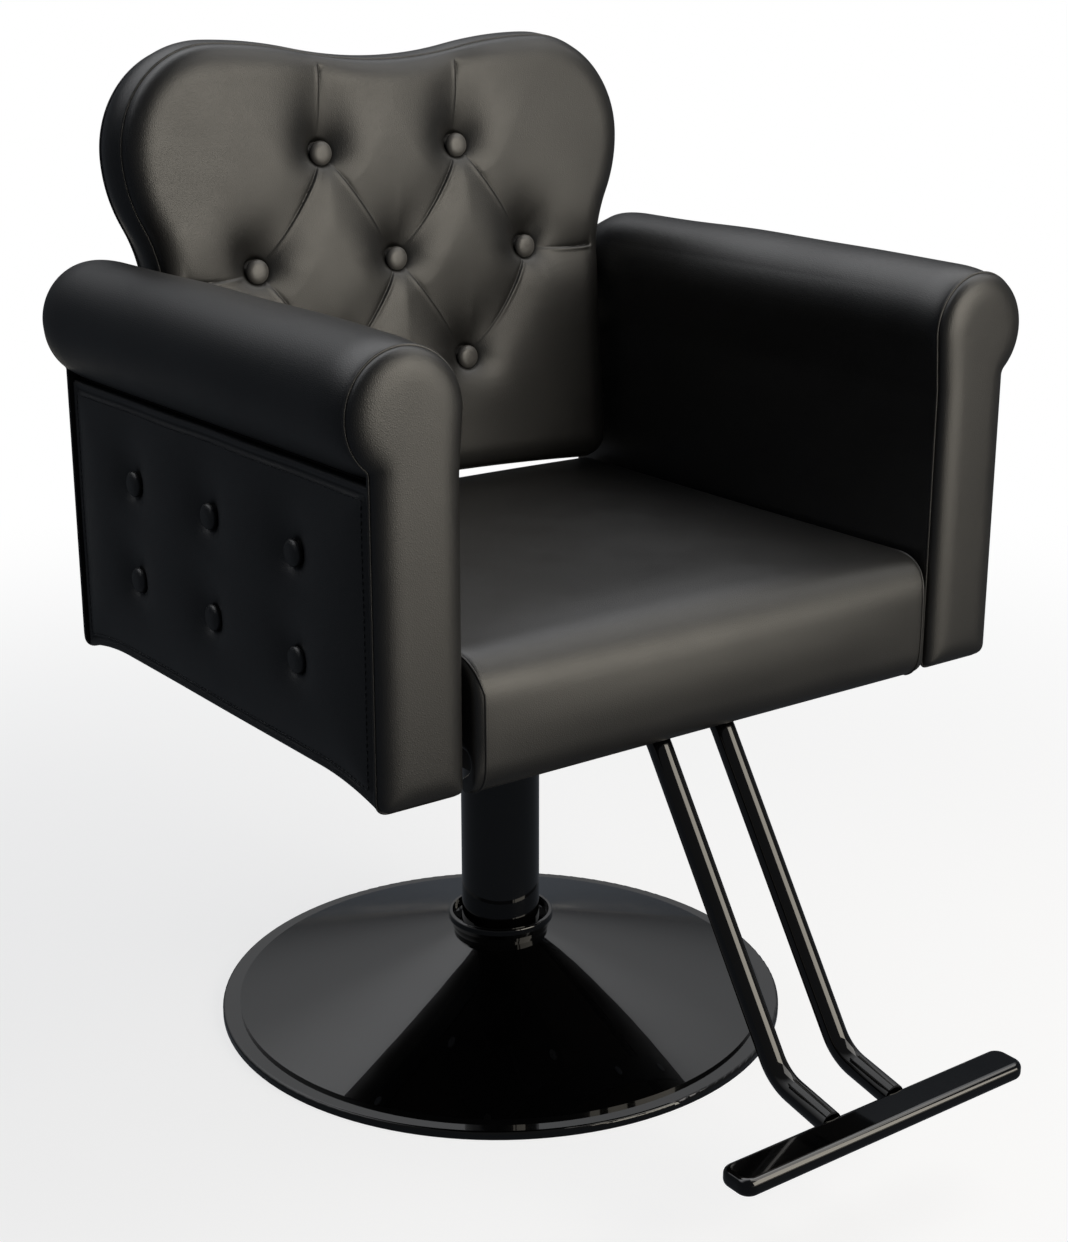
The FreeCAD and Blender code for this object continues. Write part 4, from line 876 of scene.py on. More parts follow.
def tuft(column, row):
    return np.array((column * TUFT_COLUMN, TUFT_FIRST_ROW + row * TUFT_ROW))


TUFTS = [tuft(column, row) for row, columns in enumerate(TUFT_ROWS) for column in columns]
back_line = heart()
print(len(TUFTS), "tufts in the back")

# %% [markdown]
# Between the buttons the leather folds. The pleats are listed as pairs of plan places with the bow
# of the fold between them and the side on which its lip lies, because those three things are what
# differ from one pleat to the next on a real hand-buttoned back. Each is a shallow bowed fold with
# a sharp lip and a soft side. Each button sinks a funnel that is longer above than below.

# %% Pleats and funnels of the back
FUNNEL_DEPTH, FUNNEL_TILT, BUTTON_SEAT = 12.0, 0.42, 11.0
# Beside, above and below the button
FUNNEL_WIDTHS = (16.0, 33.0, 9.0)
MOAT_DEPTH, MOAT_WIDTH = 2.5, 2.5
CREASE_DEPTH, CREASE_SHARP, CREASE_SOFT = 2.8, 1.0, 2.2
VALLEY_DEPTH, VALLEY_WIDTH = 1.2, 9.0
LIP_HEIGHT, LIP_PLACE, LIP_WIDTH = 0.9, 2.8, 1.8
PLEAT_FADE, PLEAT_SLACK, PLEAT_PULL = 4.0, 0.6, 1.5

PLEATS = [
    (tuft(-1, 2), (-78, 408), 0, 1),
    (tuft(1, 2), (82, 408), 0, 1),
    (tuft(-1, 2), tuft(0, 1), 3, -1),
    (tuft(1, 2), tuft(0, 1), 5, 1),
    (tuft(-1, 2), tuft(-2, 1), 5, 1),
    (tuft(1, 2), tuft(2, 1), 3, -1),
    (tuft(0, 1), tuft(-1, 0), 4, 1),
    (tuft(0, 1), tuft(1, 0), 2, -1),
    (tuft(-2, 1), tuft(-1, 0), 2, -1),
    (tuft(2, 1), tuft(1, 0), 7, 1),
    (tuft(-2, 1), (-238, 217), 3, 1),
    (tuft(2, 1), (238, 217), -2, -1),
]


def bell(distance, width):
    return np.exp(-((distance / width) ** 2))


def beside_pleat(flat, start, finish, bow):
    """How far along a bowed fold each point lies, from 0 to 1, how far to its left, and how far
    past its ends."""
    start, run = np.array(start, float), np.array(finish, float) - np.array(start, float)
    length = np.hypot(*run)
    gap = flat - start
    along = gap @ run / length ** 2
    held = np.clip(along, 0, 1)
    side = gap @ np.array((-run[1], run[0])) / length - 4 * bow * held * (1 - held)
    return held, side, abs(along - held) * length


def pleat_depth(flat, start, finish, bow, lip):
    """How far a fold sinks each point: a crease that is steep on the side of its lip, in a broad
    shallow valley."""
    held, side, past = beside_pleat(flat, start, finish, bow)
    side = side * lip
    steep, gentle = bell(side, CREASE_SHARP), np.exp(-np.abs(side) / CREASE_SOFT)
    crease = CREASE_DEPTH * np.where(side > 0, steep, gentle)
    valley = VALLEY_DEPTH * bell(side, VALLEY_WIDTH)
    raised = LIP_HEIGHT * bell(side - LIP_PLACE, LIP_WIDTH)
    pull = PLEAT_SLACK + (1 - PLEAT_SLACK) * np.abs(2 * held - 1) ** PLEAT_PULL
    return (crease + valley - raised) * pull * bell(past, PLEAT_FADE)


def around_button(flat, centre, seat, widths):
    """How far each point is outside a button's seat, how much it is above the button, from -1 to
    1, and the width of the dip there."""
    across, up = (flat - centre).T
    away = np.hypot(across, up)
    lean = up / np.maximum(away, 1)
    beside, above, below = widths
    width = beside + lean ** 2 * (np.where(up > 0, above, below) - beside)
    return np.maximum(away - seat, 0), lean, width


def funnel_depth(flat, centre):
    """How far a button draws the leather in: a tilted funnel, with a moat at the button."""
    outside, lean, width = around_button(flat, centre, BUTTON_SEAT, FUNNEL_WIDTHS)
    funnel = FUNNEL_DEPTH * (1 + FUNNEL_TILT * lean) * np.exp(-outside / width)
    return funnel + MOAT_DEPTH * bell(outside, MOAT_WIDTH)


def fold_distance(flat):
    """How far each point of the plan is from the nearest pleat or button."""
    folds = []
    for start, finish, bow, _ in PLEATS:
        _, side, past = beside_pleat(flat, start, finish, bow)
        folds.append(np.hypot(side, past))
    for centre in TUFTS:
        folds.append(np.maximum(np.hypot(*(flat - centre).T) - BUTTON_SEAT, 0))
    return np.minimum.reduce(folds)


print(len(PLEATS), "pleats")

# %% [markdown]
# The tufted front puts these together. Depth runs rearwards from the front of the foam. The
# diamonds between the folds swell, pleats die away inside the funnels, and the edge rolls over a
# rounded border to the seam. A fold is only a few millimetres wide, so the face is cut finer
# beside it, and the rest can stay coarse.

# %% Tufted front of the back
CLEAR = 0.2
FACE_DEPTH, SEAM_DEPTH, FOAM_DEPTH = -10.0, 7.0, 24.0
BORDER_WIDTH, BORDER_FULLNESS = 30.0, 2.4
DIAMOND_SWELL, DIAMOND_WIDTH = 3.0, 26.0
PLEAT_DYING = 3
BACK_WANDER = (150.0, 0.8)
BACK_MIDDLE, BACK_RINGS = (0, 223), 100
FOLD_BANDS = (9.0, 4.0)
TUCK, TUCK_DEPTH = 3.0, 2.0


def tufted_depth(face):
    """The depth of the front at each point of its plan."""
    flat = face.flat
    folds = sum(pleat_depth(flat, *pleat) for pleat in PLEATS)
    funnels = np.maximum.reduce([funnel_depth(flat, centre) for centre in TUFTS])
    folds = folds * np.exp(-(funnels / FUNNEL_DEPTH) * PLEAT_DYING)
    swelling = DIAMOND_SWELL * (1 - bell(fold_distance(flat), DIAMOND_WIDTH))
    border = swell(face.inside, BORDER_WIDTH, BORDER_FULLNESS)
    full = FACE_DEPTH - SEAM_DEPTH - swelling + unevenness(flat, *BACK_WANDER)
    return SEAM_DEPTH + (full + folds + funnels) * border


def make_back_front():
    face = Face(back_line, BACK_MIDDLE, BACK_RINGS)
    face.refine(back_line, fold_distance, FOLD_BANDS)
    points = leaned(face.flat, tufted_depth(face))
    tucked = back_line.at(face.rim_share, -TUCK)
    loops = [leaned(tucked, depth) for depth in (SEAM_DEPTH + TUCK_DEPTH, FOAM_DEPTH - CLEAR)]
    return soft_piece("back_front", *pad_mesh(face, points, loops), ["back_cushion"], fill=0.8)


back_front = make_back_front()

# %% [markdown]
# Behind the tufted front, a plain boxing strip runs round the edge of the board and a smooth panel
# closes the rear. They are one piece here, a shallow cup over the board. The strip is a little
# full between its two seams, and fuller above the waist, where no arm holds it. A welt marks each
# seam, and a row of stitches runs beside the front one.

# %% Rear of the back
REAR_DEPTH, REAR_ROUND, REAR_CROWN, CROWN_RUN, BOARD_REAR = 57.0, 7.0, 5.0, 60.0, 39.0
REAR_RINGS, REAR_WANDER = 70, (210.0, 1.0)
BOXING_ROWS, BOXING_HELD, BOXING_FREE, FREE_RUN = 10, 1.2, 5.0, 60.0
REAR_SEAM, BOXING_FRONT, CUP_TUCK = REAR_DEPTH - REAR_ROUND, SEAM_DEPTH + 1, TUCK - 0.4
BACK_WELT, BACK_WELT_OUT, FRONT_WELT_DEPTH = 1.5, 0.3, SEAM_DEPTH + 0.5
BOXING_STITCH_OUT, BOXING_STITCH_DEPTH = 0.9, SEAM_DEPTH + 7


def make_back_rear():
    face = Face(back_line, BACK_MIDDLE, REAR_RINGS)
    share = face.rim_share
    edge = swell(face.inside, REAR_ROUND)
    crown = REAR_CROWN * (1 - np.exp(-face.inside / CROWN_RUN))
    wander = unevenness(face.flat, *REAR_WANDER)
    points = leaned(face.flat, REAR_SEAM + REAR_ROUND * edge + crown + wander * edge)
    rim, way = back_line.at(share), back_line.way(share)
    free = np.clip((rim[:, 1] - BACK_WAIST) / FREE_RUN, 0, 1)
    fullness = BOXING_HELD + (BOXING_FREE - BOXING_HELD) * free
    loops = []
    for t in np.arange(1, BOXING_ROWS + 1) / BOXING_ROWS:
        bulge = (fullness * math.sin(math.pi * t))[:, None]
        loops.append(leaned(rim + way * bulge, REAR_SEAM + t * (BOXING_FRONT - REAR_SEAM)))
    tucked = back_line.at(share, -CUP_TUCK)
    loops += [leaned(tucked, depth) for depth in (BOXING_FRONT, BOARD_REAR + CLEAR)]
    return soft_piece("back_rear", *pad_mesh(face, points, loops), ["back_rear_cover"], fill=0.7)


back_rear = make_back_rear()
BACK_ROUND = shares(700)
for name, depth, owner in (
    ("back_front_welt", FRONT_WELT_DEPTH, back_front),
    ("back_rear_welt", REAR_SEAM, back_rear),
):
    path = leaned(back_line.at(BACK_ROUND, BACK_WELT_OUT), depth)
    add_trim(name, sweep(path, BACK_WELT, closed=True), welt_leather, owner)
path = leaned(back_line.at(BACK_ROUND, BOXING_STITCH_OUT), BOXING_STITCH_DEPTH)
add_trim("back_boxing_stitches", stitches(path), thread, back_rear)

# %% [markdown]
# A covered button is a domed shell with leather drawn tight over it and tucked under the rim. It
# is turned like a bead on a lathe: a small undercut at the rim, then a dome. On the back each one
# sits at the bottom of its funnel and looks along the lean of the back.

# %% Buttons
BUTTON_RADIUS, BUTTON_HEIGHT, BUTTON_WALL = 12.0, 8.0, 2.2
BUTTON_TURNS, BUTTON_LEVELS, BUTTON_BLUNT = 40, 12, 0.7
UNDERCUT_RADII, UNDERCUT_HEIGHTS = (0.8, 0.86), (-2.0, 0.0)
TUFT_FLOOR = 2.0


def button_mesh(place, way):
    """A dome that stands on a place and looks along a unit vector."""
    place, way = np.asarray(place, float), np.asarray(way, float)
    side = np.cross(way, np.eye(3)[np.argmin(abs(way))])
    side /= np.linalg.norm(side)
    up = np.cross(way, side)
    rise = np.linspace(0, math.pi / 2, BUTTON_LEVELS, endpoint=False)
    radii = np.concatenate((UNDERCUT_RADII, np.cos(rise) ** BUTTON_BLUNT)) * BUTTON_RADIUS
    dome = BUTTON_WALL + (BUTTON_HEIGHT - BUTTON_WALL) * np.sin(rise) ** BUTTON_BLUNT
    heights = np.concatenate((UNDERCUT_HEIGHTS, dome))
    angles = 2 * math.pi * np.arange(BUTTON_TURNS)[:, None] / BUTTON_TURNS
    ring = np.cos(angles) * side + np.sin(angles) * up
    points = [place + radius * ring + height * way for radius, height in zip(radii, heights)]
    points.append((place + BUTTON_HEIGHT * way)[None])
    faces = ring_faces(BUTTON_TURNS, len(radii))
    turn = np.roll(np.arange(BUTTON_TURNS), -1)
    last, tip = (len(radii) - 1) * BUTTON_TURNS, len(radii) * BUTTON_TURNS
    faces += [[last + i, last + turn[i], tip] for i in range(BUTTON_TURNS)]
    faces.append(list(range(BUTTON_TURNS))[::-1])
    return np.vstack(points), faces


def make_back_buttons():
    way = (0.0, -math.cos(BACK_LEAN), math.sin(BACK_LEAN))
    floors = leaned(np.array(TUFTS), TUFT_FLOOR)
    mesh = joined([button_mesh(place, way) for place in floors])
    # The pale button leather is painted highlight.
    soft_piece("back_button_set", *mesh, ["back_buttons"], fill=1.0, finish=painted_highlight_button_leather)


make_back_buttons()

# %% [markdown]
# Each arm is a box frame with leather over it. One hide wraps the inner side and the scroll roll
# on top, a puffy keyhole facing closes the front, a buttoned panel hangs outside, and a plain
# cover closes the rear. The frame's boxes say where each of them lies, and the arm is drawn on the
# sitter's left and mirrored to the right.

# %% Places on the arm
SIDES = {"left": np.array((1, 1, 1)), "right": np.array((-1, 1, 1))}


def box_mm(name):
    low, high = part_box(name)
    return np.array(low) / MM, np.array(high) / MM


def on_side(mesh, side):
    """A mesh of the left arm, mirrored for the right."""
    points, faces = mesh
    return points * SIDES[side], faces


roll_low, roll_high = box_mm("left_arm_roll")
inner_low, inner_high = box_mm("left_arm_inner_pad")
side_low, side_high = box_mm("left_arm_outer_pad")
facing_low, facing_high = box_mm("left_arm_facing")
cover_low, _ = box_mm("left_arm_rear_cover")
ROLL_RADIUS = (roll_high[0] - roll_low[0]) / 2
ROLL_X, ROLL_Z = roll_low[0] + ROLL_RADIUS, roll_high[2] - ROLL_RADIUS
ARM_INNER, ARM_OUTER = inner_low[0], side_high[0]
ARM_FOOT, ARM_SEAM = facing_low[2], roll_low[2]
print("arm roll radius", round(ROLL_RADIUS, 1), "mm at", round(ROLL_X), round(ROLL_Z))

# %% [markdown]
# The wrap is one closed profile drawn along the arm. It is full over the inner side, eases into
# the roll without a seam, and is drawn in a little at both ends, where the leather is pulled to
# the welts. The stations along it crowd towards the ends, where it curves most.

# %% Inner side and roll of the arms
WRAP_POINTS, WRAP_EASE, WRAP_STEP, END_STATIONS = 420, 5, 12.0, 12
WRAP_CROWN, INNER_SKIN = 3.5, 4.0
END_PULL, ROLL_FRONT_PULL, ROLL_REAR_PULL, END_RUN = 2.0, 8.0, 5.0, 36.0
ROLL_FULL, FREE_WAY, ROLL_WANDER = 5.0, np.array((0.6, 0.8)), (190.0, 0.9)


def front_view(flat, depth):
    return np.column_stack((flat[:, 0], np.broadcast_to(depth, len(flat)), flat[:, 1]))


def drawn_along(profile, stations):
    """A closed profile set out at each station, with both ends closed."""
    count, rings = len(profile), len(stations)
    points = np.vstack([front_view(profile, along) for along in stations])
    ends = [list(range(count)), list(range((rings - 1) * count, rings * count))]
    return points, ring_faces(count, rings) + ends


def end_stations(start, finish, run, step):
    """Stations that crowd towards both ends, with how near each is to an end: 1 there and 0 a run
    away."""
    edge = run * (1 - np.cos(np.linspace(0, math.pi / 2, END_STATIONS)))
    middle = np.arange(start + run + step, finish - run, step)
    stations = np.concatenate((start + edge, middle, (finish - edge)[::-1]))
    nearness = 1 - np.minimum(np.minimum(stations - start, finish - stations) / run, 1)
    return stations, nearness


def wrap_profile():
    foot_out = ROLL_X + math.sqrt(ROLL_RADIUS ** 2 - (ROLL_Z - ARM_SEAM) ** 2)
    return eased(evenly(trace([
        (ARM_INNER, inner_low[2]),
        (inner_high[0], inner_low[2]),
        (inner_high[0], ARM_SEAM),
        (foot_out, ARM_SEAM, ROLL_RADIUS, "left"),
        (ROLL_X, ROLL_Z + ROLL_RADIUS, ROLL_RADIUS, "left"),
        (ROLL_X - ROLL_RADIUS, ROLL_Z),
        (ARM_INNER, ARM_SEAM),
    ]), WRAP_POINTS), WRAP_EASE)


def make_arm_wraps():
    profile = wrap_profile()
    stations, nearness = end_stations(
        roll_low[1] + CLEAR, roll_high[1] - CLEAR, END_RUN, WRAP_STEP)
    points, faces = drawn_along(profile, stations)
    height = np.clip((points[:, 2] - inner_low[2]) / (ARM_SEAM - inner_low[2]), 0, 1)
    inner_side = (points[:, 0] < ARM_INNER + INNER_SKIN) & (points[:, 2] < ARM_SEAM)
    points[:, 0] -= inner_side * WRAP_CROWN * np.sin(math.pi * height)
    rounding = np.repeat(1 - np.sqrt(1 - nearness ** 2), len(profile))
    length = (stations - stations[0]) / (stations[-1] - stations[0])
    length = np.repeat(length, len(profile))
    normals = np.tile(outward(profile), (len(stations), 1))
    on_roll = np.clip((points[:, 2] - ARM_SEAM) / ROLL_RADIUS, 0, 1)
    free_side = np.clip(normals @ FREE_WAY, 0, 1)
    full = free_side * ROLL_FULL * np.sin(math.pi / 2 * np.minimum(2 * length, 1))
    roll_pull = np.where(length < 0.5, ROLL_FRONT_PULL, ROLL_REAR_PULL)
    pull = rounding * (END_PULL + (roll_pull - END_PULL) * on_roll)
    move = on_roll * (full + unevenness(points, *ROLL_WANDER)) - pull
    points += front_view(normals, 0.0) * move[:, None]
    for side in SIDES:
        stands_for = [f"{side}_arm_roll", f"{side}_arm_inner_pad"]
        soft_piece(f"{side}_arm_wrap", *on_side((points, faces), side), stands_for, fill=0.9)


make_arm_wraps()

# %% [markdown]
# The facing is a keyhole-shaped pad with a soft edge and a welt sewn round it. Seen from the front
# it is the arm's whole silhouette, a straight post with the scroll on top. The soft distance keeps
# its crown free of ridges where the post meets the scroll. The rear cover has the same outline and
# a narrower edge.

# %% Front facings and rear covers of the arms
FOOT_ROUND, INNER_FOOT_ROUND, HEAD_INSET = 10.0, 5.0, 4.0
FACING_RINGS, FACING_EDGE, FACING_FULL, FACING_CROWN = 64, 24.0, 10.0, 3.0
COVER_RINGS, COVER_EDGE, COVER_FULL, COVER_CROWN = 44, 14.0, 11.0, 5.0
CROWN_WIDTH, RIM_RISE, RIM_BACK = 37.0, 1.5, 0.3
ARM_WELT, ARM_WELT_OUT, ARM_WELT_RISE = 1.3, 0.4, 0.8
ARM_ROUND = shares(420)
KEYHOLE_MIDDLE = (ROLL_X - 5, ARM_SEAM - 7)


def keyhole():
    """The outline of an arm's end. Its head is a little smaller than the roll, whose end is rounded
    over to it."""
    head = ROLL_RADIUS - HEAD_INSET
    neck = ROLL_Z - math.sqrt(head ** 2 - (ARM_OUTER - ROLL_X) ** 2)
    return Outline([
        ((ARM_INNER + ARM_OUTER) / 2, ARM_FOOT),
        (ARM_OUTER - FOOT_ROUND, ARM_FOOT, FOOT_ROUND, "left"),
        (ARM_OUTER, ARM_FOOT + FOOT_ROUND),
        (ARM_OUTER, neck, head, "left"),
        (ROLL_X, ROLL_Z + head, head, "left"),
        (ROLL_X - head, ROLL_Z),
        (ARM_INNER, ARM_SEAM),
        (ARM_INNER, ARM_FOOT + INNER_FOOT_ROUND, INNER_FOOT_ROUND, "left"),
        (ARM_INNER + INNER_FOOT_ROUND, ARM_FOOT),
    ], ease=9)


def make_arm_ends(label, replaced, plane, way, rings, edge, full, crown):
    """The pads that close both arms at a plane, facing along -Y or +Y."""
    line = keyhole()
    face = Face(line, KEYHOLE_MIDDLE, rings)
    inside = line.soft_depth(face.flat)
    inside[face.rim] = 0
    rise = RIM_RISE + (full * swell(inside, edge) + crown * swell(inside, CROWN_WIDTH))
    points = front_view(face.flat, plane + way * rise)
    back = front_view(line.at(face.rim_share), plane + way * RIM_BACK)
    mesh = pad_mesh(face, points, [back])
    path = front_view(line.at(ARM_ROUND, ARM_WELT_OUT), plane + way * ARM_WELT_RISE)
    welt = sweep(path, ARM_WELT, closed=True)
    for side in SIDES:
        name = f"{side}_arm_{label}"
        pad = soft_piece(name, *on_side(mesh, side), [f"{side}_{replaced}"], fill=0.8)
        add_trim(f"{name}_welt", on_side(welt, side), welt_leather, pad)


make_arm_ends("front", "arm_facing", facing_high[1], -1,
              FACING_RINGS, FACING_EDGE, FACING_FULL, FACING_CROWN)
make_arm_ends("rear", "arm_rear_cover", cover_low[1], 1,
              COVER_RINGS, COVER_EDGE, COVER_FULL, COVER_CROWN)

# %% [markdown]
# The outer panel is a field with six shallow tufts, framed by a narrow flat strip. A groove with a
# row of stitches beside it parts the strip from the field. The field is full between its tufts, so
# each button lies half hidden in a dimple when it is seen from the front. The button places come
# from the box of the CAD buttons.

# %% Plan of the arm panels
STRIP_WIDTH, STRIP_RISE, STRIP_EDGE = 9.0, 7.0, 4.0
GROOVE_DEPTH, GROOVE_WIDTH = 1.6, 1.7
FIELD_RISE, FIELD_RUN = 9.0, 30.0
DIMPLE_DEPTH, DIMPLE_SEAT = 12.0, 11.0
# Beside, above and below the button, as on the back
DIMPLE_WIDTHS = (16.0, 30.0, 10.0)
PANEL_WANDER, WANDER_EDGE = (170.0, 0.8), 40.0
ARCH_RUN, PANEL_DROP = 90.0, 0.6
ARM_BUTTON_PITCH = 143.0

button_low, button_high = box_mm("left_arm_buttons")
ARM_MIDDLE = (button_low[1] + button_high[1]) / 2
BUTTON_RIM = (button_high[1] - button_low[1]) / 2 - ARM_BUTTON_PITCH
ARM_TUFTS = [
    np.array((ARM_MIDDLE + column * ARM_BUTTON_PITCH, height))
    for height in (button_low[2] + BUTTON_RIM, button_high[2] - BUTTON_RIM)
    for column in (-1, 0, 1)
]


def arched_panel():
    """The outline of a panel, whose foot is arched between two legs."""
    front, rear, foot, top = side_low[1], side_high[1], side_low[2], side_high[2] - PANEL_DROP
    arch_top = inner_low[2]
    arch = (ARCH_RUN ** 2 + (arch_top - foot) ** 2) / (2 * (arch_top - foot))
    return Outline([
        ((front + rear) / 2, arch_top),
        (rear - ARCH_RUN, arch_top, arch, "right"),
        (rear, foot),
        (rear, top),
        (front, top),
        (front, foot, arch, "right"),
        (front + ARCH_RUN, arch_top),
    ], ease=3)


def panel_rise(flat, inside, soft_inside):
    """How far the panel stands out from the frame at places that lie that far inside its edge."""
    field = np.clip(soft_inside - STRIP_WIDTH, 0, None)
    rise = STRIP_RISE * swell(inside, STRIP_EDGE) + FIELD_RISE * (1 - np.exp(-field / FIELD_RUN))
    rise = rise - GROOVE_DEPTH * bell(inside - STRIP_WIDTH, GROOVE_WIDTH)
    for centre in ARM_TUFTS:
        outside, _, width = around_button(flat, centre, DIMPLE_SEAT, DIMPLE_WIDTHS)
        rise = rise - DIMPLE_DEPTH * np.exp(-outside / width)
    return rise + unevenness(flat, *PANEL_WANDER) * swell(inside, WANDER_EDGE)


print(len(ARM_TUFTS), "tufts in each arm panel")

# %% [markdown]
# The panel itself is a pad like the others, laid against the frame and seen from the side. Its
# stitches follow the outline drawn in to just past the groove. Where that line would cross itself
# at a corner, its points lie too near the edge, so they are left out.

# %% Outer panels of the arms
PANEL_RINGS, PANEL_RIM = 84, 2.0
PANEL_ROUND = shares(900)
SEWN_INSIDE, SEWN_SLACK, SEWN_RISE = 12.5, 0.5, 2.4


def side_view(flat, depth):
    return np.column_stack((np.broadcast_to(depth, len(flat)), flat[:, 0], flat[:, 1]))


def make_arm_panels():
    line = arched_panel()
    plane = side_low[0]
    face = Face(line, (ARM_MIDDLE, (side_low[2] + side_high[2]) / 2), PANEL_RINGS)
    rise = panel_rise(face.flat, face.inside, line.soft_depth(face.flat))
    back = side_view(line.at(face.rim_share), plane + CLEAR)
    mesh = pad_mesh(face, side_view(face.flat, plane + PANEL_RIM + rise), [back])
    sewn = line.at(PANEL_ROUND, -SEWN_INSIDE)
    sewn = sewn[line.depth_inside(sewn) > SEWN_INSIDE - SEWN_SLACK]
    sewn_inside = line.soft_depth(sewn)
    rise = panel_rise(sewn, sewn_inside, sewn_inside)
    seam = stitches(side_view(sewn, plane + SEWN_RISE + rise))
    buttons = joined([button_mesh((button_low[0], *place), (1, 0, 0)) for place in ARM_TUFTS])
    for side in SIDES:
        name = f"{side}_arm_panel"
        panel = soft_piece(name, *on_side(mesh, side), [f"{side}_arm_outer_pad"], fill=0.7)
        add_trim(f"{name}_stitches", on_side(seam, side), thread, panel)
        name = f"{side}_arm_button_set"
        soft_piece(name, *on_side(buttons, side), [f"{side}_arm_buttons"], fill=1.0)


make_arm_panels()

# %% [markdown]
# The seat is a boxed cushion: one panel runs over the top and falls over the front, and is sewn to
# a strip at each side. It will be filled, so it starts as a block whose top and front lie a little
# inside the CAD cushion. Its hem hangs lower than the CAD's, as on the photographed chair. What
# rests on the board and what is sewn to the side strips is held, so that only the top and front
# can crown.

# %% Block of the seat
SEAT_SHRINK, HEM_DROP = 3.0, 7.0
LIP_ROUND, HEM_ROUND, SEAT_REAR_ROUND, SEAT_SIDE_ROUND = 33.0, 24.0, 20.0, 9.0
SEAT_POINTS, SEAT_EASE, SEAT_STEP = 300, 2, 10.0
BOARD_GAP, REST_GAP, ARM_GAP = 0.5, 0.3, 0.5
HEM_FADE, HEM_SHARP = 40.0, 0.2
RESTING_NEAR, RESTING_BEHIND, SEWN_NEAR = 3.0, 10.0, 0.3
seat_low, seat_high = box_mm("seat_cushion")
board_low, board_high = box_mm("seat_board")


def seat_profile():
    """The cushion seen from the side, as (depth, height). The front falls straight and turns under
    to a hem."""
    front, rear = seat_low[1] + SEAT_SHRINK, seat_high[1] - SEAT_SHRINK
    foot, top = seat_low[2] - HEM_DROP, seat_high[2] - SEAT_SHRINK
    under, rest, hem = board_low[2] - BOARD_GAP, board_high[2] + REST_GAP, board_low[1] - BOARD_GAP
    return eased(evenly(trace([
        (front + HEM_ROUND, foot),
        (front + HEM_ROUND, under),
        (hem, under),
        (hem, rest),
        (rear, rest),
        (rear, top - SEAT_REAR_ROUND, SEAT_REAR_ROUND, "left"),
        (rear - SEAT_REAR_ROUND, top),
        (front + LIP_ROUND, top, LIP_ROUND, "left"),
        (front, top - LIP_ROUND),
        (front, foot + HEM_ROUND, HEM_ROUND, "left"),
    ]), SEAT_POINTS), SEAT_EASE)


def make_seat_block():
    """The block as points and faces, with rounded sides, and which of its points are held."""
    profile = seat_profile()
    half = seat_high[0] - ARM_GAP
    stations, nearness = end_stations(-half, half, SEAT_SIDE_ROUND, SEAT_STEP)
    points, faces = drawn_along(profile, stations)
    soft = np.clip((profile[:, 1] - seat_low[2]) / HEM_FADE, HEM_SHARP, 1.0)
    inset = (SEAT_SIDE_ROUND * (1 - np.sqrt(1 - nearness ** 2))[:, None] * soft).ravel()
    normals = np.tile(outward(profile), (len(stations), 1))
    points[:, [0, 2]] -= normals * inset[:, None]
    on_board = profile[:, 1] < board_high[2] + RESTING_NEAR
    resting = np.tile(on_board & (profile[:, 0] > seat_low[1] + RESTING_BEHIND), len(stations))
    sewn = np.repeat(nearness > SEWN_NEAR, len(profile))
    return points[:, [1, 0, 2]], faces, resting | sewn


print("seat cushion from", seat_low.round(), "to", seat_high.round())

# %% [markdown]
# Blender's cloth with pressure fills the block, which gives a crown that no simple formula has.
# Cloth also makes small wrinkles that a tight cushion doesn't have, so its moves are averaged with
# their neighbours' and then scaled to the crown that is wanted. Last, the sides are pulled in
# between the corners.

# %% Seat cushion
SEAT_PRESSURE, SEAT_STIFFNESS, SEAT_BENDING, SEAT_QUALITY, SEAT_FRAMES = 3.0, 40.0, 8.0, 5, 16
SEAT_AVERAGING, SEAT_CROWN, SIDE_PULL = 60, 8.0, 2.0


def edges_of(faces):
    """The pairs of points that share an edge, each pair once."""
    pairs = [(face[i - 1], face[i]) for face in faces for i in range(len(face))]
    return np.unique(np.sort(np.array(pairs), axis=1), axis=0)


def averaged(values, edges, times):
    """Values at the points of a mesh, each averaged with its neighbours' a number of times."""
    count = np.bincount(edges.ravel(), minlength=len(values))[:, None] + 1
    for _ in range(times):
        total = values.copy()
        np.add.at(total, edges[:, 0], values[edges[:, 1]])
        np.add.at(total, edges[:, 1], values[edges[:, 0]])
        values = total / count
    return values


def filled(points, faces, held):
    """Runs the cloth on the block and returns where its points come to rest."""
    mesh = bpy.data.meshes.new("seat_block")
    mesh.from_pydata((points * MM).tolist(), [], faces)
    block = new_object("seat_block", mesh)
    group = block.vertex_groups.new(name="held")
    group.add(np.flatnonzero(held).tolist(), 1.0, "REPLACE")
    cloth = block.modifiers.new("cloth", "CLOTH")
    settings = cloth.settings
    settings.use_pressure = True
    settings.uniform_pressure_force = SEAT_PRESSURE
    settings.tension_stiffness = settings.compression_stiffness = SEAT_STIFFNESS
    settings.bending_stiffness = SEAT_BENDING
    settings.vertex_group_mass = group.name
    settings.quality = SEAT_QUALITY
    settings.effector_weights.gravity = 0.0
    cloth.point_cache.frame_start, cloth.point_cache.frame_end = 1, SEAT_FRAMES
    for step in range(1, SEAT_FRAMES + 1):
        bpy.context.scene.frame_set(step)
    settled = block.evaluated_get(bpy.context.evaluated_depsgraph_get()).to_mesh()
    move = np.array([v.co for v in settled.vertices]) / MM - points
    bpy.context.scene.frame_set(1)
    bpy.data.objects.remove(block)
    print("cloth moved the seat by up to", round(np.linalg.norm(move, axis=1).max(), 1), "mm")
    move = averaged(move, edges_of(faces), SEAT_AVERAGING)
    return points + move * SEAT_CROWN / np.linalg.norm(move, axis=1).max()


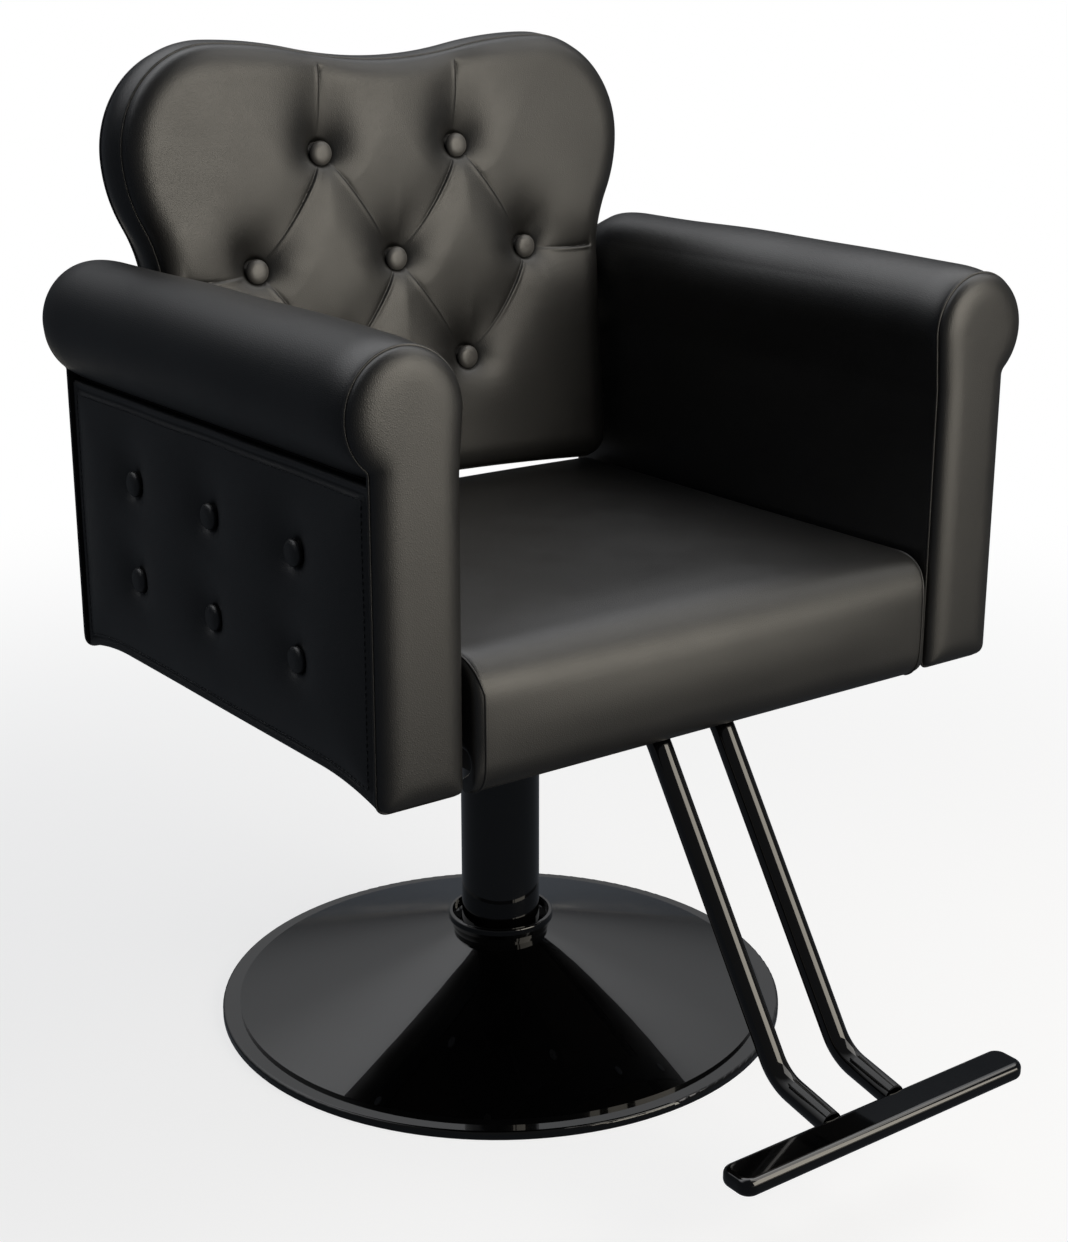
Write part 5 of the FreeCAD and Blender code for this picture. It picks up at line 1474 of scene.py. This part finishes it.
def make_seat():
    points, faces, held = make_seat_block()
    points = filled(points, faces, held)
    along = np.clip((points[:, 1] - seat_low[1]) / (seat_high[1] - seat_low[1]), 0, 1)
    height = np.clip((points[:, 2] - board_high[2]) / (seat_high[2] - board_high[2]), 0, 1)
    points[:, 0] *= 1 - SIDE_PULL / seat_high[0] * height * np.sin(math.pi * along)
    return soft_piece("seat_pad", points, faces, ["seat_cushion"], fill=0.85)


seat_pad = make_seat()

# %% [markdown]
# The seams of the side strips are corded. Each runs along the top edge, turns in a little as it
# falls over the front, and goes straight down to the hem. It is drawn on the side view of the
# cushion and then laid on the filled shape, by asking for the nearest point of the mesh.

# %% Seat welts
SEAM_IN_TOP, SEAM_IN_FRONT, SEAT_WELT, REAR_NEAR = 2.0, 9.0, 1.1, 0.5


def make_seat_welts():
    mesh = seat_pad.data
    skin = BVHTree.FromPolygons(
        [v.co for v in mesh.vertices], [p.vertices for p in mesh.polygons])
    profile = seat_profile()
    over = profile[np.argmax(profile[:, 0] > seat_high[1] - SEAT_SHRINK - REAR_NEAR):]
    below = np.clip((seat_high[2] - over[:, 1]) / LIP_ROUND, 0, 1)
    fallen = np.where(over[:, 0] < 0, below, 0)
    inset = SEAM_IN_TOP + (SEAM_IN_FRONT - SEAM_IN_TOP) * fallen
    for side, flip in SIDES.items():
        path = []
        for (depth, height), away in zip(over, inset):
            wanted = Vector((flip[0] * (seat_high[0] - away), depth, height)) * MM
            path.append(np.array(skin.find_nearest(wanted)[0]) / MM)
        welt = sweep(path, SEAT_WELT, closed=False)
        add_trim(f"{side}_seat_welt", welt, welt_leather, seat_pad)


make_seat_welts()

# %% [markdown]
# Inside the pump a small coil spring returns the plunger after each stroke. A rigid spring would
# run into the barrel as the plunger comes up. It is wound again here, as a wire swept along an
# even helix that fills the box of the CAD spring.

# %% Plunger spring
SPRING_TURNS, SPRING_WIRE, TURN_STEPS = 4, 0.8, 28


def make_spring():
    low, high = box_mm("plunger_spring")
    middle, radius = (low + high) / 2, (high[0] - low[0]) / 2 - SPRING_WIRE
    angles = np.arange(SPRING_TURNS * TURN_STEPS + 1) * 2 * math.pi / TURN_STEPS
    x, y = middle[0] + radius * np.cos(angles), middle[1] + radius * np.sin(angles)
    rise = np.linspace(low[2] + SPRING_WIRE, high[2] - SPRING_WIRE, len(angles))
    mesh = sweep(np.column_stack((x, y, rise)), SPRING_WIRE, closed=False)
    finish = FINISHES["bright_steel"]
    spring = add_piece("plunger_coil", *mesh, finish, "bright_steel", body="base")
    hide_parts("plunger_spring")
    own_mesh(spring)


make_spring()
